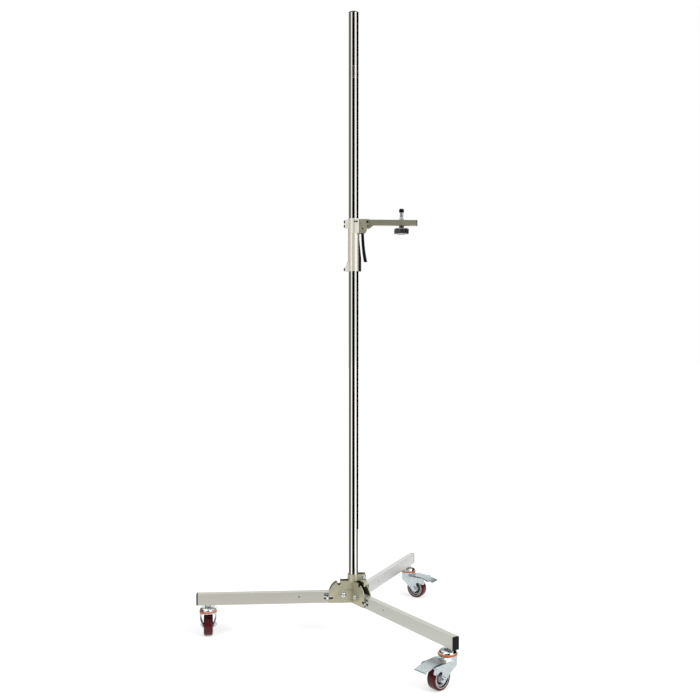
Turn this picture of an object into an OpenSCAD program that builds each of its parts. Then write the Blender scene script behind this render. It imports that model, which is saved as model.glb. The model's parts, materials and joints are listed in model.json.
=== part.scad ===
// Rolling column stand: three folding legs on locking casters, a two-part column,
// and a squeeze-grip carriage that slides along the column and carries an arm with a stud.
// The column stands on the Z axis, the floor is z = 0, and the arm points along +X.

/* [Column] */
// Outside diameter of the column tube
column_d = 35; // [30:0.5:40]
// Wall of the column tube
column_wall = 2; // [1.5:0.1:3]
// Height of the whole stand, floor to plug
stand_h = 2190; // [1800:10:2400]
// Length of the upper column tube, with the plug's head
upper_l = 190; // [150:5:500]
// Height of the polished band at that joint
joint_band_h = 40; // [20:1:60]
// How far the joint's spigots reach into each tube
joint_spigot_l = 60; // [30:1:100]
// Thickness of the plug's head
plug_head_h = 4; // [2:0.5:6]

/* [Legs] */
// Height of the rectangular leg tube
leg_h = 40; // [36:1:44]
// Width of the rectangular leg tube
leg_w = 22; // [20:0.5:24]
// Wall of the leg tube
leg_wall = 1.5; // [1.2:0.1:1.8]
// Column axis to the leg's outer end, cap included
leg_reach = 551; // [450:1:650]
// Column axis to the leg's inner end
leg_start = 22; // [21:0.5:24]
// Length of the end cap's visible head
leg_cap_l = 5; // [3:0.5:8]
// Column axis to a leg's pivot
pivot_s = 37; // [36:0.5:40]
// Pivot above the leg's underside
pivot_rise = 28; // [26:0.5:30]
// Diameter of the pivot bolts
pivot_d = 10; // [8:0.5:12]
// Angle that a leg folds up by
fold_angle = 84; // [80:0.5:86]

/* [Hub] */
// Thickness of the bent hub plates
plate_t = 3; // [2:0.25:4]
// Radius of a plate's locking sector about the pivot
sector_r = 51; // [48:0.5:54]
// Top of the hub plates
plate_top_z = 199; // [195:0.5:203]
// Wall of the collar round the column
collar_wall = 4; // [3:0.25:5]
// Top of the collar round the column
collar_top_z = 221.5; // [215:0.5:230]
// Reach of the clamping ears from the column axis
ear_reach = 43; // [40:0.5:46]
// Diameter of the ears' clamping bolt
clamp_bolt_d = 8; // [6:0.5:9]

/* [Leg lock] */
// Diameter of the cross pin that locks a leg
lock_pin_d = 9; // [7:0.5:10]
// Column axis to the locked cross pin
lock_pin_s = 77.5; // [76:0.5:79]
// Cross pin below the pivot
lock_pin_drop = 10.5; // [9:0.5:12]
// Travel of the cross pin
lock_travel = 15.5; // [15.5:0.5:18]
// Length of the plunger barrel
barrel_l = 30; // [26:1:34]
// Column axis to the pin that the lock spring pushes from
spring_pin_s = 193; // [180:1:210]
// Diameter of the spring's wire
spring_wire_d = 1.4; // [1:0.1:2]
// Turns of the lock spring
spring_turns = 10; // [6:1:12]

/* [Casters] */
// Diameter of a wheel
wheel_d = 75; // [70:1:77]
// Width of a wheel's tread
tread_w = 32; // [26:1:32]
// Thickness of a wheel's tread
tread_t = 8; // [5:0.5:10]
// Overall height of a caster under its leg
caster_h = 122; // [121:1:130]
// Column axis to a caster's swivel axis
caster_s = 511; // [400:1:515]
// Swivel axis to wheel axle
trail = 40; // [37:1:43]
// Thickness of the fork's sheet
fork_t = 2.5; // [2:0.1:3]
// Diameter of the threaded stem and kingpin
stem_d = 12; // [10:0.5:14]
// Diameter of the axle
axle_d = 8; // [6:0.5:10]
// Diameter of the coloured dust seal
seal_d = 61; // [58:0.5:64]
// Height of the dust seal
seal_h = 4.7; // [3:0.1:5]
// Width of the brake pedal
pedal_w = 46; // [40:1:48]
// Swivel axis to the pedal's lip
pedal_reach = 123; // [116:1:128]
// Thickness of the pedal's sheet
pedal_t = 2.5; // [2:0.1:3]
// Degrees that a brake pedal presses down
pedal_press = 7; // [4:0.5:8]
// Compass direction in which the left caster trails
trail_left = 95; // [0:1:359]
// Compass direction in which the front caster trails
trail_front = 218; // [0:1:359]
// Compass direction in which the back caster trails
trail_back = 323; // [0:1:359]

/* [Carriage] */
// Height of the sleeve's lower end
sleeve_z = 1289; // [600:1:1500]
// Length of the sleeve
sleeve_l = 184; // [170:1:200]
// Outside diameter of the sleeve
sleeve_d = 41; // [40.5:0.5:43]
// Wall of the plastic guide bushes
bush_wall = 1.3; // [1.2:0.05:1.4]
// Length of a guide bush
bush_l = 25; // [20:1:26]
// Height of the boss and bracket at the sleeve's upper end
boss_h = 51; // [48:1:54]
// Reach of the rear lugs from the column axis
rear_lug_reach = 30.5; // [28:0.5:34]
// Reach of the grip rib that faces the lever
rib_reach = 26.3; // [24:0.1:27]
// Diameter of the brake shoe in the boss
shoe_d = 10; // [8:0.5:11]
// Outside width of the arm bracket
bracket_w = 26; // [25.5:0.5:28]
// Column axis to the bracket's root
bracket_x = 17.5; // [17:0.5:19]
// Thickness of the bracket's base
bracket_base_t = 7; // [6.5:0.25:7.5]
// Reach of the bracket's cheeks from the column axis
bracket_reach = 46; // [44:0.5:48]

/* [Arm] */
// Height of the arm
arm_h = 20; // [18:0.5:22]
// Width of the arm
arm_w = 20; // [18:0.5:20]
// Column axis to the arm's end, cap included
arm_reach = 224; // [200:1:300]
// Thickness of the arm's end cap
arm_cap_t = 3; // [2:0.5:5]
// Top of the arm below the sleeve's upper end
arm_drop = 3; // [2:0.5:5]
// Arm's end to the stud
stud_inset = 55; // [40:1:90]
// Diameter of the stud
stud_d = 12; // [10:0.5:14]
// Height of the stud above the arm, cap included
stud_h = 40; // [30:1:60]
// Diameter of the stem that holds the stud down
stud_stem_d = 10; // [8:0.5:10]
// Diameter of the stud's cap
stud_cap_d = 17.5; // [16:0.5:20]
// Height of the stud's cap
stud_cap_h = 13; // [10:0.5:16]
// Diameter of the clamp knob
knob_d = 52.5; // [40:0.5:60]
// Height of the clamp knob's grip
knob_h = 20; // [15:0.5:25]
// Number of flutes round the knob
knob_flutes = 10; // [6:1:14]

/* [Squeeze lever] */
// Column axis to the lever's pivot
lever_x = 31; // [30:0.5:33]
// Lever's pivot below the sleeve's upper end
lever_drop = 35; // [34:0.5:36]
// Diameter of the lever's pivot pin
lever_pin_d = 6; // [5:0.5:7]
// Width of the lever
lever_w = 16; // [12:0.5:18]
// Length of the lever below its pivot
lever_l = 116; // [100:1:120]
// Thickness of the lever's grip
lever_t = 11; // [9:0.5:12]
// How far the lever's foot stands out from its pivot
lever_flare = 11.5; // [10:0.5:14]

/* [Fits] */
// Radial clearance of a running fit
run_gap = 0.05; // [0.02:0.01:0.1]
// Clearance between faces that slide past each other
side_gap = 0.3; // [0.2:0.05:0.4]

/* [Hidden] */
$fn = 64;
eps = 0.01;

LEG_AZIMUTHS = [180, 300, 60];
TRAILS = [trail_left, trail_front, trail_back];

column_r = column_d / 2;
column_bore_r = column_r - column_wall;
joint_z = stand_h - upper_l - joint_band_h;

leg_z = caster_h;
leg_top_z = leg_z + leg_h;
leg_tube_end = leg_reach - leg_cap_l;
leg_bore_w = leg_w - 2 * leg_wall;
pivot_z = leg_z + pivot_rise;

cheek_in = leg_w / 2 + side_gap;
cheek_out = cheek_in + plate_t;
bend_s = cheek_in / tan(60);
strap_t = 1.2;
strap_r = 15.5;
strap_z = pivot_z + 2;
core_s = 16;
core_spigot_l = 60;
sector_s = pivot_s + sector_r;
ear_z = plate_top_z + 1;
ear_bolt_s = 35;
ear_bolt_z = (ear_z + collar_top_z) / 2 + 1;
collar_r = column_r + collar_wall;
collar_flare_h = 10;

lock_z = pivot_z - lock_pin_drop;
lock_rest_s = lock_pin_s + lock_travel;
lock_pin_l = 2 * (cheek_out + 1.5);
notch_d = lock_pin_d + 2 * side_gap;
barrel_d = leg_bore_w - 0.2;
barrel_z = lock_z + 6;
barrel_s = lock_rest_s - lock_pin_d / 2;
window_h = 22;
window_end = barrel_s + 17;
spring_pin_d = 5;
spring_r = 6;
spring_start = barrel_s + barrel_l + side_gap;
spring_end = spring_pin_s - spring_pin_d / 2 - side_gap;

wheel_r = wheel_d / 2;
rim_r = wheel_r - tread_t;
neck_h = 8;
neck_z = leg_z - neck_h;
dome_h = 11;
fork_top_z = neck_z - dome_h - 4.7;
fork_half_top = 29.5;
fork_half_low = 21.5;
fork_shoulder_z = fork_top_z - 20.3;
fork_waist_z = wheel_r + 6.5;
fork_plate_r = seal_d / 2 - 0.5;
seal_z = fork_top_z;
dome_z = seal_z + seal_h + side_gap;
dome_r = 28;
nut_af = 18;
hub_half = fork_half_low - fork_t - side_gap;
pedal_pin_u = trail + 7;
pedal_pin_z = fork_top_z - 19.5;
pedal_pin_d = 5;
fork_rim_z = fork_top_z - 11.3;

sleeve_r = sleeve_d / 2;
sleeve_top = sleeve_z + sleeve_l;
bush_r = column_r + run_gap + bush_wall;
sleeve_bore_r = bush_r + run_gap;
sleeve_waist_r = column_r + 0.6;
boss_z = sleeve_top - boss_h;
lever_z = sleeve_top - lever_drop;
arm_top = sleeve_top - arm_drop;
arm_z = arm_top - arm_h;
arm_root = bracket_x + bracket_base_t;
stud_x = arm_reach - stud_inset;
shoe_end = sleeve_r + 0.5;
cheek_gap_w = arm_w + side_gap;
lug_screw_d = 6;
pad_screw_d = 4;
pad_screw_z = sleeve_top - 11;
pad_screw_xs = [3, 10];
arm_screw_d = 5;
arm_screw_x = bracket_reach + 2;
arm_screw_z = arm_top - 8;
cap_plug_d = 10;
stud_shoulder_h = 5;
knob_top = arm_z - side_gap;
knob_neck_h = 9;
knob_z = knob_top - knob_neck_h - knob_h;

// Places its children on a leg: +X runs out along the leg, +Z stays up.
module on_leg(i) {
    rotate([0, 0, LEG_AZIMUTHS[i]]) children();
}

// Places its children on a caster: +X runs along the trail from the swivel axis.
module on_caster(i) {
    on_leg(i)
        translate([caster_s, 0, 0])
            rotate([0, 0, TRAILS[i] - LEG_AZIMUTHS[i]]) children();
}

// Stands a flat outline drawn in X and Z upright, w thick about the XZ plane.
module upright(w) {
    rotate([90, 0, 0])
        linear_extrude(height = w, center = true) children();
}

// A round bar along Y, centred on the XZ plane.
module cross_bar(d, l) {
    rotate([90, 0, 0]) cylinder(d = d, h = l, center = true);
}

// A box from its lowest corner to its highest.
module block(low, high) {
    translate(low) cube(high - low);
}

// A slot outline from a to b, as wide as d.
module slot_2d(a, b, d) {
    reach = norm(b - a);
    turn = atan2(b[1] - a[1], b[0] - a[0]);
    translate(a) circle(d = d);
    translate(b) circle(d = d);
    translate(a) rotate(turn) translate([0, -d / 2]) square([reach, d]);
}

// A rectangle with round corners, from its lowest corner to its highest.
module round_rect(low, high, r) {
    translate([low[0] + r, low[1]]) square([high[0] - low[0] - 2 * r, high[1] - low[1]]);
    translate([low[0], low[1] + r]) square([high[0] - low[0], high[1] - low[1] - 2 * r]);
    for (x = [low[0] + r, high[0] - r])
        for (y = [low[1] + r, high[1] - r])
            translate([x, y]) circle(r = r);
}

// A closed helix of wire along +X from x0 to x1.
module coil_spring(x0, x1, r, wire_d, turns) {
    sides = 6;
    steps = 8;
    wire_r = wire_d / 2;
    rings = turns * steps;
    pitch = (x1 - x0 - wire_d) / rings;
    points = [for (k = [0 : rings], j = [0 : sides - 1])
        let (turn = 360 * k / steps, side = 360 * j / sides, out = r + wire_r * cos(side))
            [x0 + wire_r + pitch * k + wire_r * sin(side), out * cos(turn), out * sin(turn)]];
    skin = [for (k = [0 : rings - 1], j = [0 : sides - 1], half = [0, 1])
        let (a = k * sides + j, b = k * sides + (j + 1) % sides)
            half == 0 ? [a, b, a + sides] : [b, b + sides, a + sides]];
    last = rings * sides;
    start_cap = [for (j = [1 : sides - 2]) [0, j + 1, j]];
    end_cap = [for (j = [1 : sides - 2]) [last, last + j, last + j + 1]];
    polyhedron(points = points, faces = concat(skin, start_cap, end_cap), convexity = 10);
}

// Column

module column_tube(low, high) {
    translate([0, 0, low])
        difference() {
            cylinder(r = column_r, h = high - low);
            translate([0, 0, -1]) cylinder(r = column_bore_r, h = high - low + 2);
        }
}

module column_lower_tube() {
    color("silver") column_tube(plate_top_z, joint_z);
}

module column_upper_tube() {
    color("silver") column_tube(joint_z + joint_band_h, stand_h - plug_head_h);
}

// A turned insert: its band is the part that shows, its spigots hold both tubes.
module column_joint() {
    spigot_r = column_bore_r - run_gap;
    edge = 1;
    color("gray")
        rotate_extrude()
            polygon([[0, joint_z - joint_spigot_l],
                [spigot_r - edge, joint_z - joint_spigot_l],
                [spigot_r, joint_z - joint_spigot_l + edge],
                [spigot_r, joint_z],
                [column_r, joint_z],
                [column_r, joint_z + joint_band_h],
                [spigot_r, joint_z + joint_band_h],
                [spigot_r, joint_z + joint_band_h + joint_spigot_l - edge],
                [spigot_r - edge, joint_z + joint_band_h + joint_spigot_l],
                [0, joint_z + joint_band_h + joint_spigot_l]]);
}

module column_top_plug() {
    plug_r = column_bore_r - run_gap;
    plug_l = 25;
    edge = 1.5;
    head_z = stand_h - plug_head_h;
    color("black")
        rotate_extrude()
            polygon([[0, head_z - plug_l], [plug_r - edge, head_z - plug_l],
                [plug_r, head_z - plug_l + edge], [plug_r, head_z], [column_r, head_z],
                [column_r, stand_h - edge], [column_r - edge, stand_h], [0, stand_h]]);
}

// Hub

// The three-armed section that fills the space between the plates.
module core_outline() {
    corner_r = cheek_in / sin(60);
    polygon([for (i = [0 : 2], k = [0 : 2])
        let (a = LEG_AZIMUTHS[0] + 120 * i)
            k == 2 ? corner_r * [cos(a + 60), sin(a + 60)]
            : core_s * [cos(a), sin(a)] + (2 * k - 1) * cheek_in * [-sin(a), cos(a)]]);
}

module hub_core() {
    color("dimgray") {
        translate([0, 0, leg_z])
            linear_extrude(height = plate_top_z - leg_z) core_outline();
        translate([0, 0, plate_top_z])
            cylinder(r = column_bore_r - run_gap, h = core_spigot_l);
    }
}

// One wing of a plate, seen from the side: a locking sector with its two notches.
module wing_outline() {
    step_s = 45.5;
    tab = 8;
    start = -4;
    difference() {
        union() {
            intersection() {
                translate([pivot_s, pivot_z]) circle(r = sector_r, $fn = 96);
                translate([start, leg_z]) square([sector_s - start, sector_r + pivot_rise]);
            }
            polygon([[start, leg_z], [sector_s - tab / 2, leg_z],
                [sector_s, leg_z + tab], [sector_s, pivot_z],
                [step_s, pivot_z], [step_s, plate_top_z], [start, plate_top_z]]);
        }
        translate([bend_s - 1, plate_top_z]) square([step_s - bend_s + 1, 10]);
        slot_2d([lock_pin_s, lock_z], [sector_s + 10, lock_z], notch_d);
        translate([pivot_s, pivot_z]) rotate(fold_angle) translate([-pivot_s, -pivot_z]) {
            slot_2d([lock_pin_s, lock_z], [sector_s + 10, lock_z], notch_d);
            polygon([[lock_pin_s - 1, lock_z - notch_d / 2],
                [sector_s - 1, lock_z - notch_d],
                [sector_s + 3, lock_z + notch_d / 2],
                [lock_pin_s, lock_z]]);
        }
        translate([pivot_s, pivot_z]) circle(r = pivot_d / 2 + run_gap);
    }
}

// The raised strap that joins the two pivot bolts of a plate.
module strap_outline() {
    difference() {
        union() {
            translate([pivot_s, strap_z]) circle(r = strap_r);
            translate([bend_s, strap_z - strap_r]) square([pivot_s - bend_s, 2 * strap_r]);
        }
        translate([pivot_s, pivot_z]) circle(r = pivot_d / 2 + run_gap);
    }
}

// A raised strap on the side of leg azimuth a that side (+1 or -1) names, rooted in its plate.
module strap(a, side) {
    root = 0.5;
    rotate([0, 0, a])
        translate([0, side * (cheek_out + (strap_t - root) / 2), 0])
            upright(strap_t + root) strap_outline();
}

// A plate bent round the hub, with wings on leg azimuths a and a + 120.
module bent_plate(a) {
    reach = sector_s + 1;
    along = reach * [cos(60), sin(60)];
    across = [sin(60), -cos(60)];
    inner = along + cheek_in * across;
    outer = along + cheek_out * across;
    intersection() {
        translate([0, 0, leg_z - 1])
            linear_extrude(height = 2 * sector_r + 2)
                rotate(a + 60)
                    polygon([[cheek_in / sin(60), 0], inner, outer, [cheek_out / sin(60), 0],
                        [outer[0], -outer[1]], [inner[0], -inner[1]]]);
        for (turn = [a, a + 120])
            rotate([0, 0, turn]) upright(2 * cheek_out + 4) wing_outline();
    }
    strap(a, 1);
    strap(a + 120, -1);
}

// The half collar and clamping ear that grow from a plate's upper edge, on the -Y side.
module half_collar() {
    slit = 0.5;
    difference() {
        union() {
            translate([0, 0, plate_top_z - 3])
                cylinder(r = collar_r, h = collar_top_z - plate_top_z + 3);
            translate([0, 0, plate_top_z - 3 - collar_flare_h])
                cylinder(r1 = (cheek_in + plate_t / 2) / sin(60), r2 = collar_r, h = collar_flare_h);
        }
        translate([0, 0, plate_top_z])
            cylinder(r = column_r + run_gap, h = collar_top_z);
        translate([0, 0, leg_z]) linear_extrude(height = plate_top_z - leg_z + eps)
            core_outline();
        for (a = LEG_AZIMUTHS)
            rotate([0, 0, a])
                block([core_s - eps, -cheek_in, leg_z], [100, cheek_in, plate_top_z]);
        block([-50, -slit, 0], [50, 50, 400]);
        block([0, -cheek_in, 0], [50, 50, 400]);
        rotate([0, 0, -60]) block([0, 0, 0], [60, 60, plate_top_z]);
    }
    difference() {
        block([column_r / 2, -cheek_out, ear_z], [ear_reach, -cheek_in, collar_top_z]);
        translate([0, 0, ear_z - 1]) cylinder(r = column_r + run_gap, h = collar_top_z);
        translate([ear_bolt_s, 0, ear_bolt_z]) cross_bar(clamp_bolt_d + 2 * run_gap, 60);
    }
}

// The plate on the camera side, with wings on the left and front legs.
module front_plate() {
    bent_plate(LEG_AZIMUTHS[0]);
    half_collar();
}

module hub_plate_front() {
    color("#9c9678") front_plate();
}

module hub_plate_rear() {
    color("#9c9678") mirror([0, 1, 0]) front_plate();
}

module hub_plate_side() {
    color("#9c9678") bent_plate(LEG_AZIMUTHS[1]);
}

// A domed socket screw with a hex nut, along Y: the head is at +Y.
module through_bolt(d, grip, head_d, head_h, nut_w, nut_h) {
    cross_bar(d, 2 * grip);
    difference() {
        rotate([-90, 0, 0])
            translate([0, 0, grip]) {
                cylinder(d = head_d, h = head_h / 2);
                translate([0, 0, head_h / 2])
                    cylinder(d1 = head_d, d2 = head_d * 0.6, h = head_h / 2);
            }
        translate([0, grip + head_h, 0]) cross_bar(head_d * 0.35, head_h);
    }
    rotate([90, 0, 0])
        translate([0, 0, grip]) {
            cylinder(d = nut_w / cos(30), h = nut_h, $fn = 6);
            cylinder(d = d, h = nut_h + 3);
        }
}

module hub_bolts() {
    color("lightgray") {
        for (i = [0 : 2])
            on_leg(i) translate([pivot_s, 0, pivot_z])
                through_bolt(pivot_d, cheek_out + strap_t, 15, 5, 16, 6);
        translate([ear_bolt_s, 0, ear_bolt_z])
            rotate([0, 0, 180])
                through_bolt(clamp_bolt_d, cheek_out, 13, 4, 13, 5);
    }
}

// Legs

module leg_tube(i) {
    color("#c9c7bb")
        on_leg(i)
            difference() {
                block([leg_start, -leg_w / 2, leg_z], [leg_tube_end, leg_w / 2, leg_top_z]);
                block([leg_start - 1, -leg_bore_w / 2, leg_z + leg_wall],
                    [leg_tube_end + 1, leg_bore_w / 2, leg_top_z - leg_wall]);
                translate([pivot_s, 0, pivot_z]) cross_bar(pivot_d + 2 * run_gap, leg_w + 2);
                upright(leg_w + 2) {
                    slot_2d([lock_pin_s, lock_z], [lock_rest_s, lock_z], notch_d);
                    round_rect([lock_rest_s - 4, barrel_z - window_h / 2],
                        [window_end, barrel_z + window_h / 2], 3);
                }
                translate([spring_pin_s, 0, barrel_z])
                    cross_bar(spring_pin_d + 2 * run_gap, leg_w + 2);
                translate([caster_s, 0, leg_z - 1])
                    cylinder(d = stem_d + 2 * run_gap, h = leg_wall + 2);
            }
}

// A pressed-in plug with ribs, under a head that is flush with the tube.
module leg_cap(i) {
    plug_l = 22;
    rib = 1.5;
    play = 0.05;
    color("#1b1b1b")
        on_leg(i) {
            translate([leg_tube_end, 0, (leg_z + leg_top_z) / 2])
                rotate([90, 0, 90])
                    linear_extrude(height = leg_cap_l)
                        round_rect([-leg_w / 2, -leg_h / 2], [leg_w / 2, leg_h / 2], 1.5);
            block([leg_tube_end - plug_l, -leg_bore_w / 2 + play + rib, leg_z + leg_wall + play + rib],
                [leg_tube_end, leg_bore_w / 2 - play - rib, leg_top_z - leg_wall - play - rib]);
            for (k = [0 : 2])
                translate([-4 - 7 * k, 0, 0])
                    block([leg_tube_end - 2, -leg_bore_w / 2 + play, leg_z + leg_wall + play],
                        [leg_tube_end, leg_bore_w / 2 - play, leg_top_z - leg_wall - play]);
        }
}

// The barrel that fingers pull, with the cross pin through its lower half.
module lock_plunger(i) {
    edge = 0.8;
    color("#dcdcdc")
        on_leg(i) {
            translate([barrel_s, 0, barrel_z])
                rotate([0, 90, 0]) {
                    cylinder(d1 = barrel_d - 2 * edge, d2 = barrel_d, h = edge);
                    translate([0, 0, edge]) cylinder(d = barrel_d, h = barrel_l - 2 * edge);
                    translate([0, 0, barrel_l - edge])
                        cylinder(d1 = barrel_d, d2 = barrel_d - 2 * edge, h = edge);
                }
            translate([lock_rest_s, 0, lock_z]) cross_bar(lock_pin_d, lock_pin_l);
        }
}

module lock_spring(i) {
    color("gray")
        on_leg(i)
            translate([0, 0, barrel_z])
                coil_spring(spring_start, spring_end, spring_r, spring_wire_d, spring_turns);
}

module spring_pin(i) {
    color("dimgray")
        on_leg(i)
            translate([spring_pin_s, 0, barrel_z]) cross_bar(spring_pin_d, leg_w);
}

// Casters

// Kingpin, hex neck, stem and lock nut, in line on the swivel axis.
module caster_stem(i) {
    head_h = 3;
    nut_h = 9;
    corners = nut_af / cos(30);
    rivet_z = fork_top_z - fork_t - side_gap - head_h;
    color("lightgray")
        on_leg(i)
            translate([caster_s, 0, 0]) {
                translate([0, 0, rivet_z]) cylinder(d = stem_d + 9, h = head_h);
                translate([0, 0, rivet_z])
                    cylinder(d = stem_d, h = leg_z + leg_wall + nut_h + 3 - rivet_z);
                translate([0, 0, neck_z]) cylinder(d = corners, h = neck_h, $fn = 6);
                translate([0, 0, leg_z + leg_wall]) cylinder(d = corners, h = nut_h, $fn = 6);
            }
}

// The pressed dome that covers the upper ball race.
module caster_dome(i) {
    bore_r = stem_d / 2 + run_gap;
    race_r = 16;
    color("silver")
        on_leg(i)
            translate([caster_s, 0, 0])
                rotate_extrude()
                    polygon(concat(
                        [[bore_r, fork_top_z + side_gap], [race_r, fork_top_z + side_gap],
                            [race_r, dome_z], [dome_r, dome_z]],
                        [for (a = [0 : 10 : 80])
                            [14 + (dome_r - 14) * cos(a), dome_z + 1 + (neck_z - 1 - dome_z) * sin(a)]],
                        [[13, neck_z], [bore_r, neck_z]]));
}

module caster_seal(i) {
    inner_r = 17;
    lip = 1.2;
    outer_r = seal_d / 2;
    color("#e0662c")
        on_caster(i)
            translate([0, 0, seal_z])
                rotate_extrude()
                    polygon([[inner_r, 0], [outer_r - lip, 0], [outer_r, lip],
                        [outer_r, seal_h - lip], [outer_r - lip, seal_h], [inner_r, seal_h]]);
}

// The fork seen from the side: a broad cheek that narrows to the axle, and behind it
// the brake wing, with a round bite between the two.
module fork_side() {
    end_r = 12;
    front = -fork_plate_r - 1;
    wing_u = trail + 49;
    wing_z = fork_top_z - 37;
    bite_r = 10;
    bite_u = trail + end_r + bite_r - 2;
    difference() {
        union() {
            polygon([[front, fork_top_z], [front + 2, fork_top_z - 14],
                [trail - end_r * 0.86, wheel_r - end_r / 2], [trail + end_r - 1, wheel_r],
                [trail + end_r - 1, wing_z], [wing_u - 5, wing_z],
                [wing_u, wing_z + 5], [wing_u, fork_rim_z - 6], [wing_u - 6, fork_rim_z],
                [fork_plate_r + 1, fork_rim_z], [fork_plate_r + 1, fork_top_z]]);
            translate([trail, wheel_r]) circle(r = end_r);
        }
        translate([bite_u, wing_z - bite_r + 5]) circle(r = bite_r);
        translate([trail, wheel_r]) circle(d = axle_d + 2 * run_gap);
        translate([pedal_pin_u, pedal_pin_z]) circle(d = pedal_pin_d + 2 * run_gap);
        translate([wing_u - 8, fork_rim_z - 7]) circle(d = 4);
    }
}

// The fork seen along the trail, as one bent sheet.
module fork_front() {
    inner = [[fork_half_top - fork_t, fork_top_z - fork_t],
        [fork_half_top - fork_t, fork_shoulder_z + 0.5],
        [fork_half_low - fork_t, fork_waist_z + 0.5], [fork_half_low - fork_t, 0]];
    outer = [[fork_half_low, 0], [fork_half_low, fork_waist_z],
        [fork_half_top, fork_shoulder_z], [fork_half_top, fork_top_z]];
    half = concat(inner, outer);
    polygon(concat(half, [for (k = [len(half) - 1 : -1 : 0]) [-half[k][0], half[k][1]]]));
}

module caster_fork(i) {
    color("#c4cccf")
        on_caster(i)
            difference() {
                intersection() {
                    upright(2 * fork_half_top + 2) fork_side();
                    translate([-60, 0, 0])
                        rotate([90, 0, 90]) linear_extrude(height = trail + 120) fork_front();
                    union() {
                        cylinder(r = fork_plate_r, h = fork_top_z + 1);
                        block([0, -40, 0], [trail + 60, 40, fork_rim_z]);
                    }
                }
                translate([0, 0, 60]) cylinder(d = stem_d + 2 * run_gap, h = 50);
            }
}

// Axle bolt with its nut, and the rivet that the brake pedal swings on.
module caster_axle(i) {
    rivet_half = fork_half_top;
    color("lightgray")
        on_caster(i) {
            translate([trail, 0, wheel_r])
                through_bolt(axle_d, fork_half_low, 13, 6, 13, 6.5);
            translate([pedal_pin_u, 0, pedal_pin_z]) {
                cross_bar(pedal_pin_d, 2 * rivet_half);
                for (side = [-1, 1])
                    translate([0, side * (rivet_half + 0.75), 0]) cross_bar(pedal_pin_d + 4, 1.5);
            }
        }
}

module wheel_core(i) {
    hub_r = 9;
    web = 5;
    rim_t = 4;
    rim_half = tread_w / 2 - 1;
    color("#8b8d8f")
        on_caster(i)
            translate([trail, 0, wheel_r])
                rotate([90, 0, 0])
                    rotate_extrude()
                        polygon([[axle_d / 2 + run_gap, -hub_half], [hub_r, -hub_half],
                            [hub_r, -web], [rim_r - rim_t, -web],
                            [rim_r - rim_t, -rim_half], [rim_r, -rim_half],
                            [rim_r, rim_half], [rim_r - rim_t, rim_half],
                            [rim_r - rim_t, web], [hub_r, web],
                            [hub_r, hub_half], [axle_d / 2 + run_gap, hub_half]]);
}

// The moulded tread, with round shoulders.
module wheel_tread(i) {
    shoulder = min(6, tread_t - 1);
    half = tread_w / 2;
    color("#6d1f28")
        on_caster(i)
            translate([trail, 0, wheel_r])
                rotate([90, 0, 0])
                    rotate_extrude()
                        difference() {
                            union() {
                                translate([rim_r + run_gap, -half])
                                    square([wheel_r - shoulder - rim_r - run_gap, tread_w]);
                                translate([rim_r + run_gap, -half + shoulder])
                                    square([tread_t - run_gap, tread_w - 2 * shoulder]);
                                for (side = [-1, 1])
                                    translate([wheel_r - shoulder, side * (half - shoulder)])
                                        circle(r = shoulder);
                            }
                            translate([0, -tread_w]) square([rim_r + run_gap, 2 * tread_w]);
                        }
}

// The point at t, from 0 to 1, of the quadratic curve from a to c that b pulls towards itself.
function bent(a, b, c, t) = (1 - t) * (1 - t) * a + 2 * t * (1 - t) * b + t * t * c;

module brake_pedal(i) {
    steps = 10;
    flange_half = pedal_w / 2 - 1;
    flange_t = 2;
    lip_d = 5;
    heel = [fork_plate_r + 1, fork_top_z - 6.3];
    lip = [pedal_reach - lip_d / 2, fork_top_z - 21.3];
    crest = [pedal_reach - 38, fork_top_z - 7.3];
    crown = [for (k = [0 : steps]) bent(heel, crest, lip, k / steps)];
    under = [for (k = [steps : -1 : 0]) crown[k] - [0, pedal_t]];
    ear_low = pedal_pin_z - 4.3;
    color("#c4cccf")
        on_caster(i) {
            upright(pedal_w) polygon(concat(crown, under));
            translate([lip[0], 0, lip[1] - pedal_t / 2]) cross_bar(lip_d, pedal_w);
            for (side = [-1, 1])
                translate([0, side * (flange_half - flange_t / 2), 0])
                    upright(flange_t)
                        difference() {
                            polygon([heel - [0, 1.5], [heel[0] + 1, ear_low],
                                [pedal_pin_u + 6, ear_low], [crest[0], crest[1] - 9],
                                crown[5] - [0, 1.5]]);
                            translate([pedal_pin_u, pedal_pin_z])
                                circle(d = pedal_pin_d + 2 * run_gap);
                        }
            brake_block();
        }
}

// The rib under the pedal that comes down on the tread when the pedal is pressed.
module brake_block() {
    start = pedal_pin_u + 4;
    upright(20)
        difference() {
            polygon([[start, pedal_pin_z - 5], [start + 14, pedal_pin_z - 12],
                [start + 18, fork_top_z - 10], [start + 2, fork_top_z - 8.3]]);
            for (down = [0, pedal_press])
                translate([pedal_pin_u, pedal_pin_z])
                    rotate(down)
                        translate([trail - pedal_pin_u, wheel_r - pedal_pin_z])
                            circle(r = wheel_r + side_gap);
        }
}

// Carriage

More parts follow.
